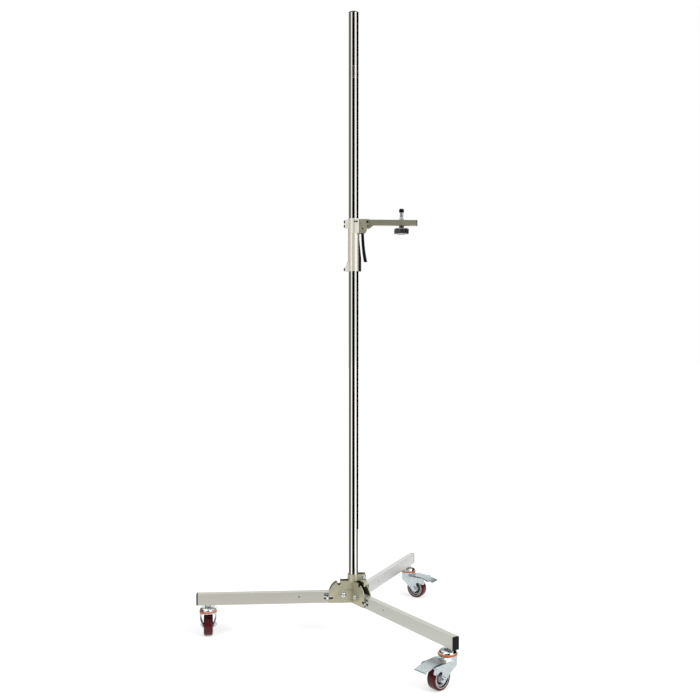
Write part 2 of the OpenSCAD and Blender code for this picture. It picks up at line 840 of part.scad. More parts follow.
module carriage_sleeve() {
    pad_x = -8;
    lug_w = 16;
    lug_h = 29;
    fin_top = 38;
    fin_full = 13;
    rib_full = 45;
    rib_top = 108;
    color("#c9bd9a")
        difference() {
            union() {
                translate([0, 0, sleeve_z]) cylinder(r = sleeve_r, h = sleeve_l);
                block([pad_x, -sleeve_r, boss_z], [bracket_x, sleeve_r, sleeve_top - 1]);
                block([-rear_lug_reach, -lug_w / 2, sleeve_top - 4 - lug_h],
                    [0, lug_w / 2, sleeve_top - 4]);
                upright(lug_w)
                    polygon([[0, sleeve_z], [-rear_lug_reach, sleeve_z],
                        [-rear_lug_reach, sleeve_z + fin_full],
                        [-sleeve_r + 0.5, sleeve_z + fin_top], [0, sleeve_z + fin_top]]);
                upright(lug_w)
                    polygon([[0, sleeve_z], [rib_reach, sleeve_z],
                        [rib_reach, sleeve_z + rib_full],
                        [sleeve_r - 0.5, sleeve_z + rib_top], [0, sleeve_z + rib_top]]);
            }
            translate([0, 0, sleeve_z - 1]) cylinder(r = sleeve_waist_r, h = sleeve_l + 2);
            translate([0, 0, sleeve_z - 1]) cylinder(r = sleeve_bore_r, h = bush_l + 1 + side_gap);
            translate([0, 0, sleeve_top - bush_l - side_gap])
                cylinder(r = sleeve_bore_r, h = bush_l + 1 + side_gap);
            translate([0, 0, lever_z]) rotate([0, 90, 0])
                cylinder(d = shoe_d + 2 * run_gap, h = 60);
            for (z = rear_bolt_heights())
                translate([-rear_lug_reach - 1, 0, z]) rotate([0, 90, 0])
                    cylinder(d = lug_screw_d + 2 * run_gap,
                        h = rear_lug_reach - sleeve_bore_r - 0.5);
            for (x = pad_screw_xs)
                translate([x, -sleeve_r - 1, pad_screw_z]) rotate([-90, 0, 0])
                    cylinder(d = pad_screw_d + 2 * run_gap, h = 3.5);
        }
}

function rear_bolt_heights() = [sleeve_top - 11, sleeve_top - 26, sleeve_z + 6.5];

module guide_bushes() {
    color("#2a2a2a")
        for (z = [sleeve_z, sleeve_top - bush_l])
            translate([0, 0, z])
                difference() {
                    cylinder(r = bush_r, h = bush_l);
                    translate([0, 0, -1]) cylinder(r = column_r + run_gap, h = bush_l + 2);
                }
}

// Lug screws, pad screws, the arm's screw and the lever's pivot pin.
module carriage_fasteners() {
    head_h = 4;
    arm_head_h = 2.5;
    pad_shank_l = sleeve_r - sleeve_bore_r - side_gap;
    color("#1b1b1b") {
        for (z = rear_bolt_heights())
            translate([-rear_lug_reach, 0, z]) rotate([0, 90, 0]) {
                translate([0, 0, -head_h]) cylinder(d = lug_screw_d + 5, h = head_h);
                cylinder(d = lug_screw_d, h = rear_lug_reach - sleeve_bore_r - 2);
            }
        for (x = pad_screw_xs)
            translate([x, -sleeve_r, pad_screw_z]) rotate([90, 0, 0]) {
                cylinder(d = pad_screw_d + 2, h = 1.5);
                translate([0, 0, -pad_shank_l]) cylinder(d = pad_screw_d, h = pad_shank_l);
            }
    }
    color("lightgray") {
        translate([lever_x, 0, lever_z]) cross_bar(lever_pin_d, bracket_w + 2);
        translate([arm_screw_x, 0, arm_screw_z]) {
            cross_bar(arm_screw_d, bracket_w + 2);
            for (side = [-1, 1])
                translate([0, side * (bracket_w + arm_head_h) / 2, 0])
                    cross_bar(arm_screw_d + 3, arm_head_h);
        }
    }
}

// The round shoe that the lever's nose drives against the column.
module brake_shoe() {
    color("#2a2a2a")
        difference() {
            translate([0, 0, lever_z]) rotate([0, 90, 0])
                cylinder(d = shoe_d, h = shoe_end);
            translate([0, 0, lever_z - shoe_d]) cylinder(r = column_r + side_gap, h = 2 * shoe_d);
        }
}

module bracket_cheek() {
    corner = 12;
    top_reach = bracket_reach + 8;
    difference() {
        union() {
            translate([bracket_x, arm_z]) square([top_reach - bracket_x, sleeve_top - 1.5 - arm_z]);
            translate([bracket_x, boss_z + corner])
                square([bracket_reach - bracket_x, arm_z - boss_z - corner + 1]);
            translate([bracket_x, boss_z]) square([bracket_reach - corner - bracket_x, corner + 1]);
            translate([bracket_reach - corner, boss_z + corner]) circle(r = corner);
        }
        translate([lever_x, lever_z]) circle(d = lever_pin_d + 2 * run_gap);
        translate([arm_screw_x, arm_screw_z]) circle(d = arm_screw_d + 2 * run_gap);
    }
}

module arm_bracket() {
    cheek_t = (bracket_w - cheek_gap_w) / 2;
    color("#8f8a6c")
        difference() {
            union() {
                for (side = [-1, 1])
                    translate([0, side * (bracket_w - cheek_t) / 2, 0])
                        upright(cheek_t) bracket_cheek();
                block([bracket_x, -bracket_w / 2, boss_z],
                    [arm_root, bracket_w / 2, sleeve_top - 1.5]);
            }
            block([bracket_x - 1, -lever_w / 2 - side_gap, boss_z - 1],
                [arm_root + 1, lever_w / 2 + side_gap, lever_z + 10]);
            translate([0, 0, boss_z - 1]) cylinder(r = sleeve_r, h = boss_h + 2);
        }
}

module arm() {
    web_x = 70;
    color("#8f8a6c")
        difference() {
            upright(arm_w)
                polygon([[arm_root, arm_top], [arm_reach - arm_cap_t, arm_top],
                    [arm_reach - arm_cap_t, arm_z], [web_x, arm_z],
                    [bracket_reach + 8, arm_z - 12], [bracket_reach + 0.5, arm_z - 10],
                    [bracket_reach + 0.5, arm_z], [arm_root, arm_z]]);
            translate([arm_screw_x, 0, arm_screw_z])
                cross_bar(arm_screw_d + 2 * run_gap, arm_w + 2);
            translate([stud_x, 0, arm_z - 1])
                cylinder(d = stud_stem_d + 2 * run_gap, h = arm_h + 2);
            translate([arm_reach - arm_cap_t - 10, 0, (arm_z + arm_top) / 2]) rotate([0, 90, 0])
                cylinder(d = cap_plug_d + 2 * run_gap, h = 11);
        }
}

module arm_end_cap() {
    color("#1b1b1b")
        translate([arm_reach - arm_cap_t, 0, (arm_z + arm_top) / 2])
            rotate([90, 0, 90]) {
                linear_extrude(height = arm_cap_t)
                    round_rect([-arm_w / 2, -arm_h / 2], [arm_w / 2, arm_h / 2], 1.5);
                translate([0, 0, -9]) cylinder(d = cap_plug_d, h = 9);
            }
}

// The black grip, with a head round the pivot and a nose behind the brake shoe.
module squeeze_lever() {
    head_r = 8;
    nose = lever_x - shoe_end - side_gap;
    nose_h = 5;
    steps = 8;
    top = [0, -head_r / 2];
    foot = [lever_flare, -lever_l];
    pull = [0.1 * lever_flare, -0.6 * lever_l];
    middle = [for (k = [0 : steps]) bent(top, pull, foot, k / steps)];
    inner = [for (k = [0 : steps]) middle[k] - [lever_t / 2, 0]];
    outer = [for (k = [steps : -1 : 0]) middle[k] + [lever_t / 2, 0]];
    color("#1b1b1b")
        translate([lever_x, 0, lever_z])
            difference() {
                union() {
                    cross_bar(2 * head_r, lever_w);
                    block([-nose, -lever_w / 2, -nose_h / 2], [0, lever_w / 2, nose_h / 2]);
                    upright(lever_w) polygon(concat(inner, outer));
                }
                cross_bar(lever_pin_d + 2 * run_gap, lever_w + 2);
            }
}

// A torsion spring on the lever's pivot pin, beside the lever.
module lever_spring() {
    wire = 0.8;
    start = lever_w / 2 + 0.15;
    color("gray")
        translate([lever_x, 0, lever_z])
            rotate([0, 0, 90])
                coil_spring(start, cheek_gap_w / 2 - 0.1, lever_pin_d / 2 + 1, wire, 1);
}

module stud() {
    color("lightgray")
        translate([stud_x, 0, 0]) {
            translate([0, 0, knob_z + 6]) cylinder(d = stud_stem_d, h = arm_top - knob_z - 6);
            translate([0, 0, arm_top]) cylinder(d = stud_d + 3, h = stud_shoulder_h);
            translate([0, 0, arm_top + stud_shoulder_h])
                cylinder(d = stud_d, h = stud_h - stud_shoulder_h - 3);
        }
}

module stud_cap() {
    top = arm_top + stud_h;
    round_r = 5;
    half = stud_cap_d / 2;
    color("#1b1b1b")
        translate([stud_x, 0, 0])
            difference() {
                rotate_extrude()
                    polygon(concat([[0, top - stud_cap_h], [half, top - stud_cap_h]],
                        [for (a = [0 : 15 : 75])
                            [half - round_r + round_r * cos(a), top - round_r + round_r * sin(a)]],
                        [[half - round_r, top], [0, top]]));
                translate([0, 0, top - stud_cap_h - 1])
                    cylinder(d = stud_d + 2 * run_gap, h = stud_cap_h - 2);
            }
}

module clamp_knob() {
    flute_r = 4;
    edge = 2;
    color("#1b1b1b")
        translate([stud_x, 0, knob_z])
            difference() {
                union() {
                    cylinder(d1 = knob_d - 2 * edge, d2 = knob_d, h = edge);
                    translate([0, 0, edge]) cylinder(d = knob_d, h = knob_h - 2 * edge);
                    translate([0, 0, knob_h - edge])
                        cylinder(d1 = knob_d, d2 = knob_d - 2 * edge, h = edge);
                    cylinder(d = 17, h = knob_h + knob_neck_h);
                }
                translate([0, 0, 5]) cylinder(d = stud_stem_d + 2 * run_gap, h = 60);
                for (k = [0 : knob_flutes - 1])
                    rotate([0, 0, 360 * k / knob_flutes])
                        translate([knob_d / 2 + 1.5, 0, -1]) cylinder(r = flute_r, h = knob_h + 2);
            }
}

column_lower_tube();
column_upper_tube();
column_joint();
column_top_plug();
hub_core();
hub_plate_front();
hub_plate_rear();
hub_plate_side();
hub_bolts();
leg_tube(0);  // leg_tube_left
leg_tube(1);  // leg_tube_front
leg_tube(2);  // leg_tube_back
leg_cap(0);  // leg_cap_left
leg_cap(1);  // leg_cap_front
leg_cap(2);  // leg_cap_back
lock_plunger(0);  // lock_plunger_left
lock_plunger(1);  // lock_plunger_front
lock_plunger(2);  // lock_plunger_back
lock_spring(0);  // lock_spring_left
lock_spring(1);  // lock_spring_front
lock_spring(2);  // lock_spring_back
spring_pin(0);  // spring_pin_left
spring_pin(1);  // spring_pin_front
spring_pin(2);  // spring_pin_back
caster_stem(0);  // caster_stem_left
caster_stem(1);  // caster_stem_front
caster_stem(2);  // caster_stem_back
caster_dome(0);  // caster_dome_left
caster_dome(1);  // caster_dome_front
caster_dome(2);  // caster_dome_back
caster_seal(0);  // caster_seal_left
caster_seal(1);  // caster_seal_front
caster_seal(2);  // caster_seal_back
caster_fork(0);  // caster_fork_left
caster_fork(1);  // caster_fork_front
caster_fork(2);  // caster_fork_back
caster_axle(0);  // caster_axle_left
caster_axle(1);  // caster_axle_front
caster_axle(2);  // caster_axle_back
wheel_core(0);  // wheel_core_left
wheel_core(1);  // wheel_core_front
wheel_core(2);  // wheel_core_back
wheel_tread(0);  // wheel_tread_left
wheel_tread(1);  // wheel_tread_front
wheel_tread(2);  // wheel_tread_back
brake_pedal(0);  // brake_pedal_left
brake_pedal(1);  // brake_pedal_front
brake_pedal(2);  // brake_pedal_back
carriage_sleeve();
guide_bushes();
carriage_fasteners();
brake_shoe();
arm_bracket();
arm();
arm_end_cap();
squeeze_lever();
lever_spring();
stud();
stud_cap();
clamp_knob();
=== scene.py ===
"""Rolling column stand: finishes, turned and repeated fittings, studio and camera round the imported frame."""

import json
from math import atan2, cos, pi, radians, sin

import bmesh
import bpy
from mathutils import Matrix, Vector


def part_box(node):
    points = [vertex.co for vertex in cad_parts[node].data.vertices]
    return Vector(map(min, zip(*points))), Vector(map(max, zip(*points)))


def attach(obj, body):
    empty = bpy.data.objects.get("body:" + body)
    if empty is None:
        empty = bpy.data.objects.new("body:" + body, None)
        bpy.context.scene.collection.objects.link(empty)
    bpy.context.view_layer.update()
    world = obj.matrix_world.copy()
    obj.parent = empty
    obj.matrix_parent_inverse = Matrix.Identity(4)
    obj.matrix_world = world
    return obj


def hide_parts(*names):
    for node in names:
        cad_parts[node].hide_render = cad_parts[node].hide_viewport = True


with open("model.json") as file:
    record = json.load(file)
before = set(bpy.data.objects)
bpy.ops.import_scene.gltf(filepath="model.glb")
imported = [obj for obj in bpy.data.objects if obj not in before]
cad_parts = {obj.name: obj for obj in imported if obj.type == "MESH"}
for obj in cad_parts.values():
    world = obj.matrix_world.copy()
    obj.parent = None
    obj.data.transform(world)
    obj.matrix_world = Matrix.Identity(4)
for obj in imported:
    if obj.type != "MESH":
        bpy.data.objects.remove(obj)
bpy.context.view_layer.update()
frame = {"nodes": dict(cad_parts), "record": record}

bl_info = {
    "name": "Rolling column stand",
    "version": (1, 0, 0),
    "blender": (4, 5, 0),
    "location": "View3D > Sidebar > Stand",
    "description": "Dresses the packed stand in its finishes and adds its small fittings",
    "category": "Object",
}

MM = 0.001
LEGS = {"left": 180, "front": 300, "back": 60}


def node_centre(node):
    """The middle of a CAD node's box."""
    low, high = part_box(node)
    return (low + high) / 2


def node_size(node):
    """The sides of a CAD node's box."""
    low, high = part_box(node)
    return high - low


COLUMN_R = node_size("column_joint").x / 2
JOINT_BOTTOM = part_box("column_lower_tube")[1].z
JOINT_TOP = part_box("column_upper_tube")[0].z
SLEEVE_R = 20.5 * MM
# The painted shade on the sleeve's right side and grip rib starts below the boss
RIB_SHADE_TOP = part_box("carriage_sleeve")[1].z - 52 * MM
# The legs' pivot bolts: distance from the column's axis, height, and half the grip between the plates
PIVOT_S, PIVOT_Z, PIVOT_GRIP = 37 * MM, 150 * MM, 15.5 * MM
# Where the head of the collar's clamping bolt sits
CLAMP_SEAT = (35 * MM, -14.3 * MM, 211.75 * MM)
# Bolts in mm: radius and height of the head, radius and length of the shank, radius and height of the nut, tail
PIVOT_BOLT, CLAMP_BOLT = (8.4, 5, 5, 31, 9.2, 6, 3), (6.5, 4, 4, 28.6, 7.5, 5, 3)
AXLE_BOLT, ARM_BOLT = (6.5, 6, 4, 43, 7.5, 6.5, 3), (4, 2.5, 2.5, 26, 4, 2.5)
LUG_SCREW, PAD_SCREW = (5.5, 4, 3, 9.5), (3, 1.5, 2, 1.2)
# Rivets in mm: radius and height of the head, radius of the shank, half the grip
PEDAL_RIVET, LEVER_PIN = (3.4, 1.5, 2.5, 29.5), (3, 1, 3, 13)
# Outer radius in mm and colour of each ring on a wheel's face, from the axle out
WHEEL_BANDS = (
    (12.2, "#dde1e3"), (20.8, "#0b0a0b"), (24.0, "#d3d6d8"), (27.4, "#0b0a0b"), (29.6, "#ebe6de"))
SWIVELS = {leg: node_centre(f"caster_dome_{leg}") for leg in LEGS}
AXLES = {leg: node_centre(f"wheel_tread_{leg}") for leg in LEGS}
TRAILS = {leg: atan2(AXLES[leg].y - SWIVELS[leg].y, AXLES[leg].x - SWIVELS[leg].x) for leg in LEGS}
# The camera's place in metres, and its tilt and heading in degrees, as solved from the photograph
CAMERA_PLACE, CAMERA_TILT, CAMERA_HEADING = (-0.2137, -2.9806, 1.0892), -1.456, 86.14
# The side of the column that faces the camera, in degrees
CAMERA_SIDE = -93.9
# Cards: name, start and end in degrees from the camera's side, distance of the near edge in metres, shade
CARDS = (
    ("CentreCard", -33, 26, 0.76, "#060505"), ("LeftCard", -148, -62, 0.76, "#6b6b68"),
    ("RightCard", 71, 118, 0.6, "#060505"), ("BackCard", 118, 158, 1.6, "#060505"))


# Sizes and colours that a user would change


class StandSizes(bpy.types.PropertyGroup):
    """Sizes of the fittings that the scene adds"""

    spring_wire: bpy.props.FloatProperty(
        name="Spring wire", description="Diameter of the lock springs' wire",
        default=1.4 * MM, min=0.8 * MM, max=2 * MM, unit="LENGTH")
    spring_turns: bpy.props.IntProperty(
        name="Spring turns", description="Turns of each lock spring", default=10, min=6, max=14)
    ease: bpy.props.FloatProperty(
        name="Edge ease", description="How far the turned fittings' corners are broken",
        default=0.6 * MM, min=0.1 * MM, max=1.5 * MM, unit="LENGTH")
    knob_flutes: bpy.props.IntProperty(
        name="Knob flutes", description="Finger flutes round the clamp knob", default=10, min=6, max=14)


class StandColours(bpy.types.PropertyGroup):
    """Colours of the stand's main finishes"""

    chrome: bpy.props.StringProperty(
        name="Chrome", description="Hex colour of the plated column", default="#f3f1ea")
    # The three legs share one satin nickel; their three colours are painted light and shade, the back leg
    # painted lightest and the left leg darkest.
    nickel_left: bpy.props.StringProperty(
        name="Left leg", description="Hex colour of the left leg's satin nickel", default="#c9c7bc")
    nickel_front: bpy.props.StringProperty(
        name="Front leg", description="Hex colour of the front leg's satin nickel", default="#ced0c7")
    nickel_back: bpy.props.StringProperty(
        name="Back leg", description="Hex colour of the back leg's satin nickel", default="#e0e1df")
    champagne: bpy.props.StringProperty(
        name="Champagne enamel", description="Hex colour of the hub and the arm", default="#c2bea5")
    anodised: bpy.props.StringProperty(
        name="Champagne anodising", description="Hex colour of the carriage", default="#fffaec")
    zinc: bpy.props.StringProperty(
        name="Bright zinc", description="Hex colour of the forks and pedals", default="#c5cfd2")
    urethane: bpy.props.StringProperty(
        name="Tread", description="Hex colour of the wheels' treads", default="#560c13")
    seal: bpy.props.StringProperty(
        name="Dust seal", description="Hex colour of the casters' seals", default="#d3682c")


class StandStudio(bpy.types.PropertyGroup):
    """Light and camera"""

    lens: bpy.props.FloatProperty(
        name="Lens", description="Focal length on a 36 mm sensor", default=43.686, min=20, max=120)
    key: bpy.props.FloatProperty(
        name="Key light", description="Strength of the key lamp", default=0.9, min=0, max=4)
    fill: bpy.props.FloatProperty(
        name="Fill light", description="Strength of the fill lamp", default=1.35, min=0, max=4)
    sky: bpy.props.FloatProperty(
        name="Room light", description="Strength of the room's even light", default=0.6, min=0, max=1)


# Node and material helpers


def linear(hex_colour):
    """An sRGB hex colour as linear RGBA."""
    parts = [int(hex_colour[i:i + 2], 16) / 255 for i in (1, 3, 5)]
    return [c / 12.92 if c <= 0.04045 else ((c + 0.055) / 1.055) ** 2.4 for c in parts] + [1.0]


def add_node(tree, kind, settings=None, inputs=()):
    """Adds a node; each input, by name or in order, takes a value or another node's output."""
    node = tree.nodes.new(kind)
    for key, value in (settings or {}).items():
        setattr(node, key, value)
    for key, value in inputs.items() if isinstance(inputs, dict) else enumerate(inputs):
        if isinstance(value, bpy.types.NodeSocket):
            tree.links.new(value, node.inputs[key])
        else:
            node.inputs[key].default_value = value
    return node


def new_finish(name):
    """An empty material and its tree."""
    material = bpy.data.materials.new(name)
    material.use_nodes = True
    material.node_tree.nodes.clear()
    return material, material.node_tree


def grain(tree, size_mm, stretch=(1, 1, 1), turn=0.0, detail=3.0):
    """Noise with blotches size_mm wide, drawn out by stretch along axes turned about Z."""
    place = add_node(tree, "ShaderNodeTexCoord")
    axes = add_node(tree, "ShaderNodeMapping", {"vector_type": "TEXTURE"}, {
        "Vector": place.outputs["Object"], "Rotation": (0, 0, turn),
        "Scale": [size_mm * MM * s for s in stretch]})
    noise = add_node(tree, "ShaderNodeTexNoise", inputs={
        "Vector": axes.outputs["Vector"], "Scale": 1.0, "Detail": detail})
    return noise.outputs["Fac"]


def toned(tree, body, pattern, share, tone, start=0.3, end=0.7):
    """Lays a tone over a body colour where a pattern goes from start to end, up to a share."""
    # A mask from 0 to 1 goes in as it is
    if (share, start, end) != (1, 0, 1):
        pattern = add_node(tree, "ShaderNodeMapRange", inputs=(pattern, start, end, 0, share)).outputs[0]
    body = linear(body) if isinstance(body, str) else body
    mixed = add_node(tree, "ShaderNodeMix", {"data_type": "RGBA"}, {0: pattern, 6: body, 7: linear(tone)})
    return mixed.outputs[2]


def eased_edges(tree, radius_mm):
    """The normal with edges rounded off, and a mask of how much each edge was rounded, which the finishes use
    to paint edges lighter as a painted highlight.
    """
    soft = add_node(tree, "ShaderNodeBevel", {"samples": 4}, {"Radius": radius_mm * MM})
    flat = add_node(tree, "ShaderNodeNewGeometry")
    dot = add_node(tree, "ShaderNodeVectorMath", {"operation": "DOT_PRODUCT"}, (
        soft.outputs["Normal"], flat.outputs["Normal"]))
    edge = add_node(tree, "ShaderNodeMapRange", inputs=(dot.outputs["Value"], 0.98, 0.8))
    return soft.outputs["Normal"], edge.outputs[0]


def gap_shade_mask(tree, reach_mm):
    """How far neighbours close a surface in, as a mask for painted shade: 0 in the open, 1 deep in a gap."""
    near = add_node(tree, "ShaderNodeAmbientOcclusion", {"samples": 8}, {"Distance": reach_mm * MM})
    return add_node(tree, "ShaderNodeMapRange", inputs=(near.outputs["AO"], 0.3, 0.8, 1, 0)).outputs[0]


def from_axis(tree, centre, turn=0.0, lying=False):
    """Distance in metres from an axis: upright, or lying along Y of axes turned about Z."""
    place = add_node(tree, "ShaderNodeTexCoord")
    axes = add_node(tree, "ShaderNodeMapping", {"vector_type": "TEXTURE"}, {
        "Vector": place.outputs["Object"], "Location": centre, "Rotation": (0, 0, turn)})
    flat = add_node(tree, "ShaderNodeVectorMath", {"operation": "MULTIPLY"}, (
        axes.outputs["Vector"], (1, 0, 1) if lying else (1, 1, 0)))
    length = add_node(tree, "ShaderNodeVectorMath", {"operation": "LENGTH"}, (flat.outputs["Vector"],))
    return length.outputs["Value"]


def close_finish(material, body, rough, relief=None, normal=None, **shader):
    """Ends a material; rough is (pattern, low, high) or an output, and relief (pattern, depth in mm)."""
    tree = material.node_tree
    if isinstance(rough, tuple):
        pattern, low, high, *reach = rough
        rough = add_node(
            tree, "ShaderNodeMapRange", inputs=(pattern, *(reach or (0.3, 0.7)), low, high)).outputs[0]
    under = {} if normal is None else {"Normal": normal}
    if relief:
        bump = add_node(tree, "ShaderNodeBump", inputs={
            "Height": relief[0], "Distance": relief[1] * MM, **under})
        under = {"Normal": bump.outputs["Normal"]}
    names = {key.replace("_", " ").title().replace("Ior", "IOR"): value for key, value in shader.items()}
    principled = add_node(tree, "ShaderNodeBsdfPrincipled", inputs={
        "Base Color": body, "Roughness": rough, **under, **names})
    add_node(tree, "ShaderNodeOutputMaterial", inputs={"Surface": principled.outputs[0]})
    return material


# Finishes, each named for what the real one is


def drawn_chrome(name, colour):
    """Nickel-chrome over drawn steel tube: a mirror with faint lines along the draw."""
    material, tree = new_finish(name)
    lines = grain(tree, 1.6, (1, 1, 260), detail=2.0)
    haze = grain(tree, 60, (1, 1, 4), detail=2.0)
    return close_finish(
        material, toned(tree, colour, haze, 1, "#eae7df"), (lines, 0.02, 0.05), (lines, 0.0003), metallic=1.0)


def turned_steel(name, colour, rough=0.22):
    """Steel turned on a lathe and buffed: fine rings round the axis catch a soft glint."""
    material, tree = new_finish(name)
    rings = grain(tree, 0.8, (200, 200, 1), detail=2.0)
    normal, edge = eased_edges(tree, 0.3)
    # Painted highlight: the eased edges are painted lighter.
    return close_finish(
        material, toned(tree, colour, edge, 0.5, "#e4e3dd", 0, 1), (rings, rough - 0.06, rough + 0.08),
        (rings, 0.01), normal, metallic=1.0)


def moulded_nylon(name, colour, rough=0.42):
    """Carbon-black nylon from a spark-eroded mould: deep black with a fine matt pebble."""
    material, tree = new_finish(name)
    pebble = grain(tree, 0.8, detail=4.0)
    scuff = grain(tree, 9, detail=5.0)
    normal, edge = eased_edges(tree, 0.5)
    shade = toned(tree, colour, scuff, 0.6, "#101011")
    # Painted highlight: the eased edges are painted a lighter grey.
    return close_finish(
        material, toned(tree, shade, edge, 0.4, "#39393b", 0, 1), (scuff, rough - 0.07, rough + 0.09),
        (pebble, 0.02), normal, ior=1.53, specular_ior_level=0.13)


def pressed_phenolic(name, colour):
    """Phenolic pressed in a polished mould: black with a wet gloss and faint swirls."""
    material, tree = new_finish(name)
    normal, edge = eased_edges(tree, 0.4)
    # Painted highlight: the eased edges are painted a lighter grey.
    return close_finish(
        material, toned(tree, colour, edge, 0.6, "#4a4a4c", 0, 1), (grain(tree, 14), 0.1, 0.2), normal=normal,
        ior=1.6, specular_ior_level=0.9, coat_weight=0.6, coat_roughness=0.06)


def cast_aluminium(name, colour):
    """Sand-cast and tumbled aluminium: dull grey with a coarse skin."""
    material, tree = new_finish(name)
    skin = grain(tree, 2.0, detail=5.0)
    return close_finish(
        material, toned(tree, colour, skin, 1, "#6f6d65"), (skin, 0.42, 0.6), (skin, 0.15),
        eased_edges(tree, 0.6)[0], metallic=1.0)


def champagne_enamel(name, colour):
    """Baked metallic enamel on pressed steel: olive champagne, fine flake, painted shade where plates face."""
    # The edges are rubbed paler in patches and also painted lighter as a painted highlight, so they are part
    # wear and part painted light; the band is drawn wider than life so that it shows.
    material, tree = new_finish(name)
    flake = grain(tree, 0.7, detail=2.0)
    normal, edge = eased_edges(tree, 1.5)
    patches = add_node(tree, "ShaderNodeMapRange", inputs=(grain(tree, 4, detail=4.0), 0.3, 0.7, 0.2, 1))
    worn_and_lit_edge = add_node(tree, "ShaderNodeMath", {"operation": "MULTIPLY"}, (edge, patches.outputs[0]))
    body = toned(tree, colour, grain(tree, 28, detail=4.0), 1, "#b1ad93")
    rubbed_and_lit = toned(tree, body, worn_and_lit_edge.outputs[0], 0.8, "#efebd9", 0, 1)
    # Painted shade: the enamel turns dark olive where neighbours close it in, as between the plates.
    return close_finish(
        material, toned(tree, rubbed_and_lit, gap_shade_mask(tree, 40), 1, "#2a2719", 0, 1), (flake, 0.3, 0.42),
        (flake, 0.012), normal, metallic=0.66, coat_weight=0.25, coat_roughness=0.18)


def zinc_plate(name, colour, rough=0.26):
    """Bright zinc with a blue passivation: a soft mirror, clouded a little warm and cool."""
    material, tree = new_finish(name)
    cloud = grain(tree, 7, detail=4.0)
    spangle = grain(tree, 1.6, detail=2.0)
    normal, edge = eased_edges(tree, 0.5)
    body = toned(tree, colour, cloud, 1, "#b9c2c5")
    # Painted highlight: the eased edges are painted paler.
    return close_finish(
        material, toned(tree, body, edge, 0.5, "#e6ebec", 0, 1), (cloud, rough - 0.07, rough + 0.09),
        (spangle, 0.02), normal, metallic=1.0)


def satin_nickel(name, colour, azimuth):
    """Satin nickel on brushed tube: brush lines run along the leg, edges painted a touch brighter as a painted
    highlight.
    """
    material, tree = new_finish(name)
    brush = grain(tree, 0.9, (180, 1, 1), radians(azimuth))
    haze = grain(tree, 60, (3, 1, 1), radians(azimuth))
    normal, edge = eased_edges(tree, 1.2)
    body = toned(tree, colour, haze, 0.35, "#c3c2ba")
    return close_finish(
        material, toned(tree, body, edge, 0.6, "#eceae2", 0, 1), (brush, 0.34, 0.5), (brush, 0.01), normal,
        metallic=0.72)


def spring_wire(name, colour):
    """Oil-tempered spring wire: dark steel with a wet gloss."""
    material, tree = new_finish(name)
    oil = grain(tree, 3)
    return close_finish(material, toned(tree, colour, oil, 1, "#86827a"), (oil, 0.2, 0.4), metallic=1.0)


def seal_polymer(name, colour):
    """Injection-moulded polyethylene: saturated orange, waxy, with a little dust in blotches."""
    material, tree = new_finish(name)
    dust = grain(tree, 6, detail=5.0)
    return close_finish(
        material, toned(tree, colour, dust, 0.6, "#b9501f"), (dust, 0.34, 0.5),
        normal=eased_edges(tree, 0.4)[0], ior=1.51, subsurface_weight=0.12, subsurface_scale=0.002)


def wheel_centre(name, leg):
    """Moulded wheel centre: grey hub, black web, grey ring, black groove and pale rim lip."""
    material, tree = new_finish(name)
    radius, rim = from_axis(tree, AXLES[leg], TRAILS[leg], lying=True), WHEEL_BANDS[-1][0]
    share = add_node(tree, "ShaderNodeMath", {"operation": "DIVIDE"}, (radius, rim * MM))
    bands = add_node(tree, "ShaderNodeValToRGB", inputs=(share.outputs[0],))
    bands.color_ramp.interpolation = "CONSTANT"
    bands.color_ramp.elements.remove(bands.color_ramp.elements[1])
    bands.color_ramp.elements[0].color = linear(WHEEL_BANDS[0][1])
    for (start, _), (_, shade) in zip(WHEEL_BANDS, WHEEL_BANDS[1:]):
        bands.color_ramp.elements.new(start / rim).color = linear(shade)
    skin = grain(tree, 1.4, detail=4.0)
    return close_finish(
        material, toned(tree, bands.outputs["Color"], skin, 0.18, "#3a3838"), (skin, 0.3, 0.44), (skin, 0.02),
        eased_edges(tree, 0.4)[0], ior=1.5, specular_ior_level=0.35)


def cast_urethane(name, colour, leg):
    """Poured urethane tread: deep maroon with a wet gloss, scuffed where it rolls."""
    material, tree = new_finish(name)
    radius = from_axis(tree, AXLES[leg], TRAILS[leg], lying=True)
    tread_r = node_size(f"wheel_tread_{leg}").z / 2
    rolled = add_node(tree, "ShaderNodeMapRange", inputs=(radius, tread_r - 1.6 * MM, tread_r - 0.2 * MM))
    grit = grain(tree, 1.5, detail=5.0)
    rubs = add_node(tree, "ShaderNodeMapRange", inputs=(grit, 0.3, 0.7, 0.1, 1))
    scuffed = add_node(
        tree, "ShaderNodeMath", {"operation": "MULTIPLY"}, (rolled.outputs[0], rubs.outputs[0])).outputs[0]
    body = toned(tree, colour, grain(tree, 18, detail=2.0), 1, "#470910")
    return close_finish(
        material, toned(tree, body, scuffed, 0.3, "#65242a", 0, 1), (scuffed, 0.12, 0.34, 0, 1), (grit, 0.01),
        eased_edges(tree, 0.5)[0], ior=1.49, specular_ior_level=0.26)


